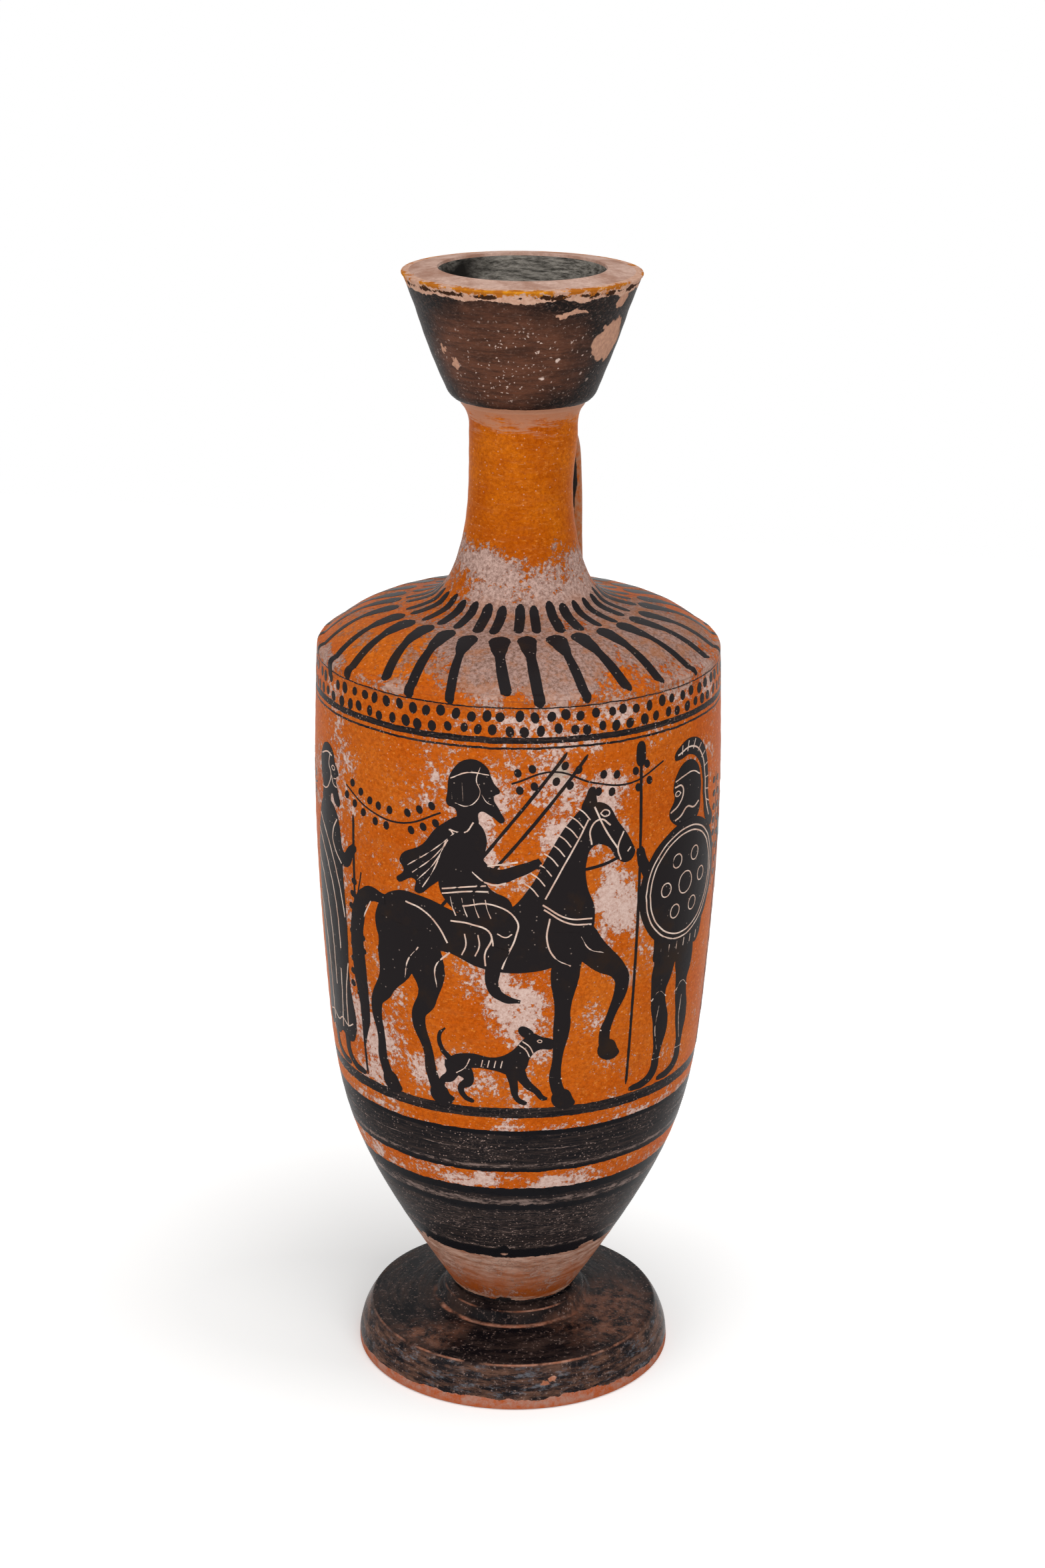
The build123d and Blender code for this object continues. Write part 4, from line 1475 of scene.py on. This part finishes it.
def draw_spearman(d):
    # Helmet and crest
    d.shape(
        (-3.6, 49.0), (-4.6, 52.4), (-4.4, 56.4), (-2.6, 59.2), (0.4, 59.9), (3.0, 58.2), (3.9, 55.6),
        (3.6, 53.8), (4.9, 51.4), (3.6, 49.4), (0.6, 48.4),
    )
    d.shape(
        (3.6, 61.0), (1.6, 63.2), (-2.2, 63.6), (-5.8, 61.2), (-7.6, 56.6), (-8.2, 50.6), (-10.2, 45.6),
        (-7.4, 46.8), (-5.8, 51.4), (-5.2, 56.2), (-3.6, 59.2), (-0.6, 60.9), (2.2, 60.6),
    )
    # Arm, spear and legs
    d.brush((3.0, 44.0, 1.7), (7.4, 40.4, 1.5), (10.6, 43.6, 1.2), (11.4, 46.2, 1.0), (11.6, 47.0, 0.7))
    d.brush((11.5, 2.0, 0.15), (11.5, 3.0, 0.36), (11.4, 34.0, 0.36), (11.5, 62.0, 0.36), (11.5, 62.6, 0.3))
    d.shape((11.5, 66.0), (10.5, 63.6), (11.1, 61.6), (11.9, 61.6), (12.5, 63.6))
    d.brush(
        (-1.6, 28.0, 4.0), (-2.4, 22.6, 3.3), (-2.0, 17.4, 2.1), (-3.1, 11.6, 2.3), (-3.0, 5.6, 1.15),
        (-2.6, 2.6, 1.25), (-0.4, 1.1, 0.95), (2.4, 0.8, 0.7), (3.4, 0.8, 0.4),
    )
    d.brush(
        (2.2, 28.0, 4.0), (4.0, 22.4, 3.2), (4.9, 17.4, 2.1), (3.6, 11.6, 2.3), (4.2, 5.6, 1.15),
        (4.7, 2.6, 1.25), (6.9, 1.1, 0.95), (9.7, 0.8, 0.7), (10.7, 0.8, 0.4),
    )
    # Skirt of the tunic, and the round shield over it
    d.shape(
        (-6.6, 33.0), (-7.4, 26.4), (-5.6, 24.6), (-3.8, 25.4), (-1.6, 24.2), (0.6, 25.2), (2.8, 24.2),
        (5.0, 25.2), (6.8, 24.4), (7.2, 27.0), (6.2, 33.0),
    )
    d.shape(*round_line(SHIELD_MIDDLE, SHIELD_RADIUS, 12))
    for radius in (10.2, 9.3):
        d.ring(SHIELD_MIDDLE, radius, 16)
    for middle in round_line(SHIELD_MIDDLE, 5.4, 6):
        d.ring(middle, 1.25, 8, width=0.3)
    d.ring(SHIELD_MIDDLE, 2.0, 10, width=0.3)
    # Lines of helmet, crest, greaves and skirt
    d.cut((4.6, 51.6), (2.4, 52.6), (1.2, 54.4), (1.6, 55.8), (3.6, 55.9))
    d.cut((1.9, 54.6), (2.7, 55.1), (3.4, 54.6), (2.7, 54.2), (1.9, 54.6), width=0.26)
    d.cut((-3.9, 51.6), (-2.2, 51.0), (0.0, 51.6), (1.8, 50.4), (3.4, 49.9))
    d.cut((-4.2, 56.4), (-1.8, 57.6), (1.2, 57.4), (3.4, 56.9), width=0.3)
    d.cut((2.8, 61.5), (-1.2, 62.2), (-4.6, 60.2), (-6.2, 56.2), (-6.8, 51.4), (-8.4, 47.6))
    for start, end in (
        ((1.6, 61.4), (1.4, 63.0)), ((0.0, 61.6), (-0.5, 63.4)), ((-1.8, 61.6), (-2.7, 63.2)),
        ((-3.4, 60.7), (-4.7, 61.9)), ((-4.8, 59.2), (-6.3, 60.0)), ((-5.8, 57.2), (-7.3, 57.6)),
        ((-6.2, 55.0), (-7.8, 55.0)), ((-6.5, 53.0), (-8.0, 52.6)), ((-6.9, 51.0), (-8.4, 50.2)),
    ):
        d.cut(start, end, width=0.26)
    for foot_u, knee_u in ((-3.0, -2.0), (4.2, 4.9)):
        d.cut((knee_u - 1.9, 17.0), (knee_u + 0.2, 18.4), (knee_u + 2.0, 17.0), width=0.3)
        d.cut((knee_u - 0.2, 15.6), (foot_u + 1.1, 11.6), (foot_u + 0.2, 7.0), width=0.3)
        d.cut((foot_u - 1.2, 5.0), (foot_u + 1.2, 5.2), width=0.3)
    for k in range(6):
        u = -5.6 + 2.2 * k
        d.cut((u, 26.9), (u + 0.1, 25.4), width=0.28)


def draw_hound(d):
    d.shape(
        (-6.4, 8.4), (-3.0, 9.6), (1.5, 9.2), (4.2, 10.4), (6.0, 12.4), (7.4, 13.6), (9.0, 13.0),
        (11.4, 11.8), (11.2, 10.8), (8.8, 10.6), (7.4, 9.4), (6.6, 7.2), (5.0, 6.0), (1.4, 6.8),
        (-2.4, 7.0), (-5.2, 6.0), (-7.2, 6.6),
    )
    d.shape((6.4, 12.8), (5.4, 14.6), (7.4, 14.2), (7.8, 13.2))
    d.brush((5.2, 7.4, 1.3), (6.8, 4.6, 0.85), (8.6, 3.0, 0.6), (9.6, 1.8, 0.55), (10.4, 1.6, 0.3))
    d.brush((4.4, 7.0, 1.3), (4.7, 4.2, 0.8), (5.2, 1.8, 0.55), (6.4, 1.0, 0.5), (6.9, 0.9, 0.3))
    d.brush(
        (-5.4, 7.4, 1.9), (-6.2, 5.0, 1.1), (-7.8, 3.8, 0.65), (-7.4, 1.9, 0.55), (-6.2, 1.0, 0.5),
        (-5.7, 0.9, 0.3),
    )
    d.brush(
        (-4.2, 7.2, 1.8), (-3.0, 4.6, 1.0), (-4.4, 3.2, 0.65), (-3.8, 1.6, 0.55), (-2.6, 1.0, 0.45),
        (-2.2, 0.9, 0.3),
    )
    d.brush((-6.4, 8.2, 0.6), (-7.8, 10.0, 0.45), (-8.0, 12.4, 0.35), (-7.0, 13.6, 0.2))
    # Collar, eye, ribs and haunch
    d.cut((5.4, 11.6), (6.6, 10.6), (7.2, 9.4), width=0.28)
    d.cut((6.0, 12.2), (7.2, 11.2), (7.8, 10.0), width=0.28)
    d.cut((8.4, 12.2), (8.8, 12.4), (9.2, 12.1), (8.8, 11.9), (8.4, 12.2), width=0.2)
    for k in range(4):
        d.cut((-0.6 + 1.1 * k, 8.6), (-0.9 + 1.1 * k, 7.3), width=0.24)
    d.cut((-2.8, 8.6), (-3.6, 7.0), (-5.2, 5.8), width=0.28)


STAFF = 8.6


def draw_onlooker(d):
    # Mantle, head, feet, arm and staff
    d.shape(
        (-5.0, 45.6), (-3.2, 49.4), (0.2, 50.4), (3.2, 48.6), (4.6, 44.4), (4.9, 38.0), (5.4, 28.0),
        (4.9, 18.0), (5.3, 6.4), (2.6, 5.2), (0.2, 6.2), (-2.0, 5.0), (-4.4, 6.0), (-6.4, 5.4),
        (-6.6, 14.0), (-7.4, 26.0), (-6.8, 37.0),
    )
    d.shape(
        (-2.6, 48.8), (-2.9, 52.4), (-3.9, 55.2), (-3.4, 58.6), (-0.8, 60.4), (1.6, 59.6), (2.6, 57.6),
        (3.9, 55.8), (3.0, 55.0), (3.7, 52.8), (4.3, 50.2), (2.6, 50.4), (1.4, 51.8), (0.6, 48.8),
    )
    d.brush((-3.4, 6.0, 1.2), (-3.2, 3.0, 1.1), (-1.2, 1.2, 0.9), (1.6, 0.8, 0.7), (2.6, 0.8, 0.35))
    d.brush((2.2, 6.0, 1.2), (2.4, 3.0, 1.1), (4.4, 1.2, 0.9), (7.2, 0.8, 0.7), (8.2, 0.8, 0.35))
    d.brush(
        (2.4, 44.4, 1.7), (5.6, 41.0, 1.5), (STAFF - 1, 43.0, 1.1), (STAFF, 44.0, 0.9),
        (STAFF + 0.3, 44.5, 0.6),
    )
    d.brush(
        (STAFF, 0.6, 0.2), (STAFF, 1.6, 0.36), (STAFF - 0.2, 26.0, 0.36), (STAFF, 49.0, 0.36),
        (STAFF, 50.0, 0.2),
    )
    # Folds of the mantle
    d.cut((-4.6, 46.4), (-0.4, 42.4), (3.2, 36.0), (4.9, 29.8))
    d.cut((-5.8, 43.4), (-1.6, 38.8), (1.6, 31.6), (2.4, 23.0))
    d.cut((-6.6, 38.6), (-3.0, 33.0), (-1.0, 25.0), (-0.8, 15.0))
    d.cut((-7.0, 31.0), (-4.6, 24.0), (-3.8, 15.0), (-4.0, 7.0))
    d.cut((3.3, 47.6), (1.6, 44.8), (1.9, 42.4), (4.6, 39.8))
    d.cut((4.9, 21.0), (3.4, 15.0), (3.0, 8.0))
    d.cut((1.8, 19.0), (1.4, 13.0), (0.6, 7.2))
    d.cut((-6.3, 8.2), (-3.9, 8.8), (-1.6, 7.9), (0.7, 9.0), (2.9, 8.2), (5.0, 9.2), width=0.3)
    # Hairline, eye, mouth, beard and fillet
    d.cut((0.6, 59.0), (0.2, 56.8), (1.0, 55.2), (0.4, 53.4), (-1.2, 52.0), (-2.8, 51.8), width=0.3)
    d.cut((1.3, 56.6), (1.9, 57.0), (2.6, 56.6), (1.9, 56.2), (1.3, 56.6), width=0.24)
    d.cut((3.1, 54.9), (2.1, 54.7), width=0.24)
    d.cut((1.2, 55.0), (2.2, 53.6), (3.4, 53.4), width=0.28)
    d.cut((-3.3, 57.8), (-0.6, 58.8), (1.4, 58.6), width=0.34)


VINE_HALF = 0.2
LEAF_GAP = 2.5
LEAF_SIDE = 1.5
LEAF_STAGGER = 0.25
LEAF_HALF = (0.72, 0.88)


def vine_leaves(points):
    """Places for a leaf dot either side of a branch at every step, with its lean."""
    spots = []
    for (u0, v0), (u1, v1) in zip(points, points[1:]):
        length = math.hypot(u1 - u0, v1 - v0)
        along = Vector(((u1 - u0) / length, (v1 - v0) / length))
        lean = math.atan2(along.y, along.x)
        for k in range(int(length / LEAF_GAP)):
            middle = Vector((u0, v0)) + along * (k + 0.5) * LEAF_GAP
            for side in (-1, 1):
                aside = side * LEAF_SIDE * Vector((-along.y, along.x))
                spot = middle + aside + along * LEAF_STAGGER * side
                spots.append((spot.x, spot.y, *LEAF_HALF, lean))
    return spots


VINES = (
    ((-34.0, 55.0), (-27.0, 52.0), (-20.0, 51.5), (-13.0, 54.5)),
    ((-1.0, 60.5), (6.0, 62.5), (13.0, 60.0), (20.0, 59.0), (27.0, 61.5)),
    ((-33.0, 16.0), (-31.8, 24.0), (-32.0, 31.0), (-30.0, 40.0)),
    ((46.5, 54.0), (46.8, 44.0), (46.0, 33.0)),
    ((-56.0, 55.0), (-51.0, 50.5), (-48.0, 51.0)),
    ((70.0, 54.0), (82.0, 49.0), (94.0, 54.0), (106.0, 49.0), (118.0, 54.0), (130.0, 49.0), (142.0, 54.0)),
    ((72.0, 28.0), (84.0, 22.0), (96.0, 28.0), (108.0, 22.0), (120.0, 28.0), (132.0, 22.0), (140.0, 26.0)),
)


def make_frieze():
    horseman = Drawing("frieze_horseman", -4.5, scale=1.06)
    draw_horse(horseman)
    draw_rider(horseman)
    horseman.finish()
    hound = Drawing("frieze_hound", -5.2, scale=1.08)
    draw_hound(hound)
    hound.finish()
    spearman = Drawing("frieze_spearman", 33.5, facing=-1)
    draw_spearman(spearman)
    spearman.finish()
    for name, at, facing in (("left", -40.5, 1), ("right", 58.0, -1), ("far", -65.0, 1)):
        onlooker = Drawing("frieze_onlooker_" + name, at, facing)
        draw_onlooker(onlooker)
        onlooker.finish()
    branches = [[(u, v, VINE_HALF) for u, v in vine] for vine in VINES]
    leaves = [spot for vine in VINES for spot in vine_leaves(vine)]
    painted("frieze_vines", [drawn(branches, False), dotted(leaves)], on_side)


make_frieze()

# Stage, in metres: a pale floor that stays white to the camera but keeps the shadow, its glow weaker round
# the foot as painted shadow, soft light, the camera
FLOOR_HALF = 0.6
# The floor's glow to the camera grows away from a point left of the foot, faster front to back: painted
# shadow
FLOOR_LIFT = span(0.03, 0.16, 0.18, 0.58)
PAINTED_SHADOW_MIDDLE = (-0.034, 0.002, 0.0)
LIFT_DEPTH = 1.5
SKY_LIGHT = 0.45
CLIP_START = 0.01
AIM = Vector((0, 0, 0.1))
# Lamps: name, place, width and height, and watts
LAMPS = (
    ("key_right", (0.58, -0.80, 0.72), (0.7, 0.7), 4.4),
    ("fill_left", (-0.55, -0.85, 0.42), (0.8, 0.5), 2.8),
    ("top", (0.05, -0.25, 1.1), (0.8, 0.8), 3.4),
)


def seen_directly(tree):
    """1 for what the camera sees, straight or in a gloss, and 0 for the light that falls on the flask."""
    rays = tree.nodes.new("ShaderNodeLightPath").outputs
    seen = add(tree, "Math", {0: rays["Is Camera Ray"], 1: rays["Is Glossy Ray"]}, operation="MAXIMUM")
    return add(tree, "Math", {0: seen, 1: rays["Is Transmission Ray"]}, operation="MAXIMUM")


def make_floor():
    bm = bmesh.new()
    bmesh.ops.create_grid(bm, x_segments=1, y_segments=1, size=FLOOR_HALF)
    mesh = bpy.data.meshes.new("floor")
    bm.to_mesh(mesh)
    bm.free()
    material, tree, place, _ = new_material("pale_paper", {})
    # Painted shadow: the glow is least round a point left of the foot and grows outwards
    deep = add(tree, "VectorMath", {0: place, 1: (1, LIFT_DEPTH, 1)}, operation="MULTIPLY")
    away = add(tree, "VectorMath", {0: deep, 1: PAINTED_SHADOW_MIDDLE}, out=1, operation="DISTANCE")
    lift = add(tree, "MapRange", {"Value": away, **FLOOR_LIFT})
    lift = add(tree, "Math", {0: seen_directly(tree), 1: lift}, operation="MULTIPLY")
    paper = add(tree, "BsdfDiffuse", {"Color": "#F4F4F3"})
    glow = add(tree, "Emission", {"Color": "#FFFFFF", "Strength": lift})
    add(tree, "OutputMaterial", {"Surface": add(tree, "AddShader", {0: paper, 1: glow})})
    mesh.materials.append(material)
    floor = bpy.data.objects.new("floor", mesh)
    scene.collection.objects.link(floor)


def make_world():
    world = bpy.data.worlds.new("studio")
    scene.world = world
    world.use_nodes = True
    tree = world.node_tree
    tree.nodes.clear()
    strength = add(tree, "MapRange", {"Value": seen_directly(tree), "To Min": SKY_LIGHT})
    sky = add(tree, "Background", {"Color": "#FFFFFF", "Strength": strength})
    add(tree, "OutputWorld", {"Surface": sky})


def make_lamp(name, place, size, watts):
    lamp = bpy.data.lights.new(name, "AREA")
    lamp.shape = "RECTANGLE"
    lamp.size, lamp.size_y = size
    lamp.energy = watts
    holder = bpy.data.objects.new(name, lamp)
    holder.location = place
    holder.rotation_euler = (AIM - Vector(place)).to_track_quat("-Z", "Y").to_euler()
    scene.collection.objects.link(holder)


def make_camera():
    camera = bpy.data.cameras.new("camera")
    camera.lens = CAMERA_LENS
    camera.sensor_width = CAMERA_SENSOR
    camera.clip_start = CLIP_START
    holder = bpy.data.objects.new("camera", camera)
    turn = (
        Matrix.Rotation(CAMERA_HEADING, 4, "Z")
        @ Matrix.Rotation(math.pi / 2 - CAMERA_DOWN, 4, "X")
        @ Matrix.Rotation(CAMERA_ROLL, 4, "Z")
    )
    holder.matrix_world = Matrix.Translation(Vector(CAMERA_PLACE) * MM) @ turn
    scene.collection.objects.link(holder)
    scene.camera = holder


make_floor()
make_world()
for lamp in LAMPS:
    make_lamp(*lamp)
make_camera()
scene.view_settings.view_transform = "Standard"
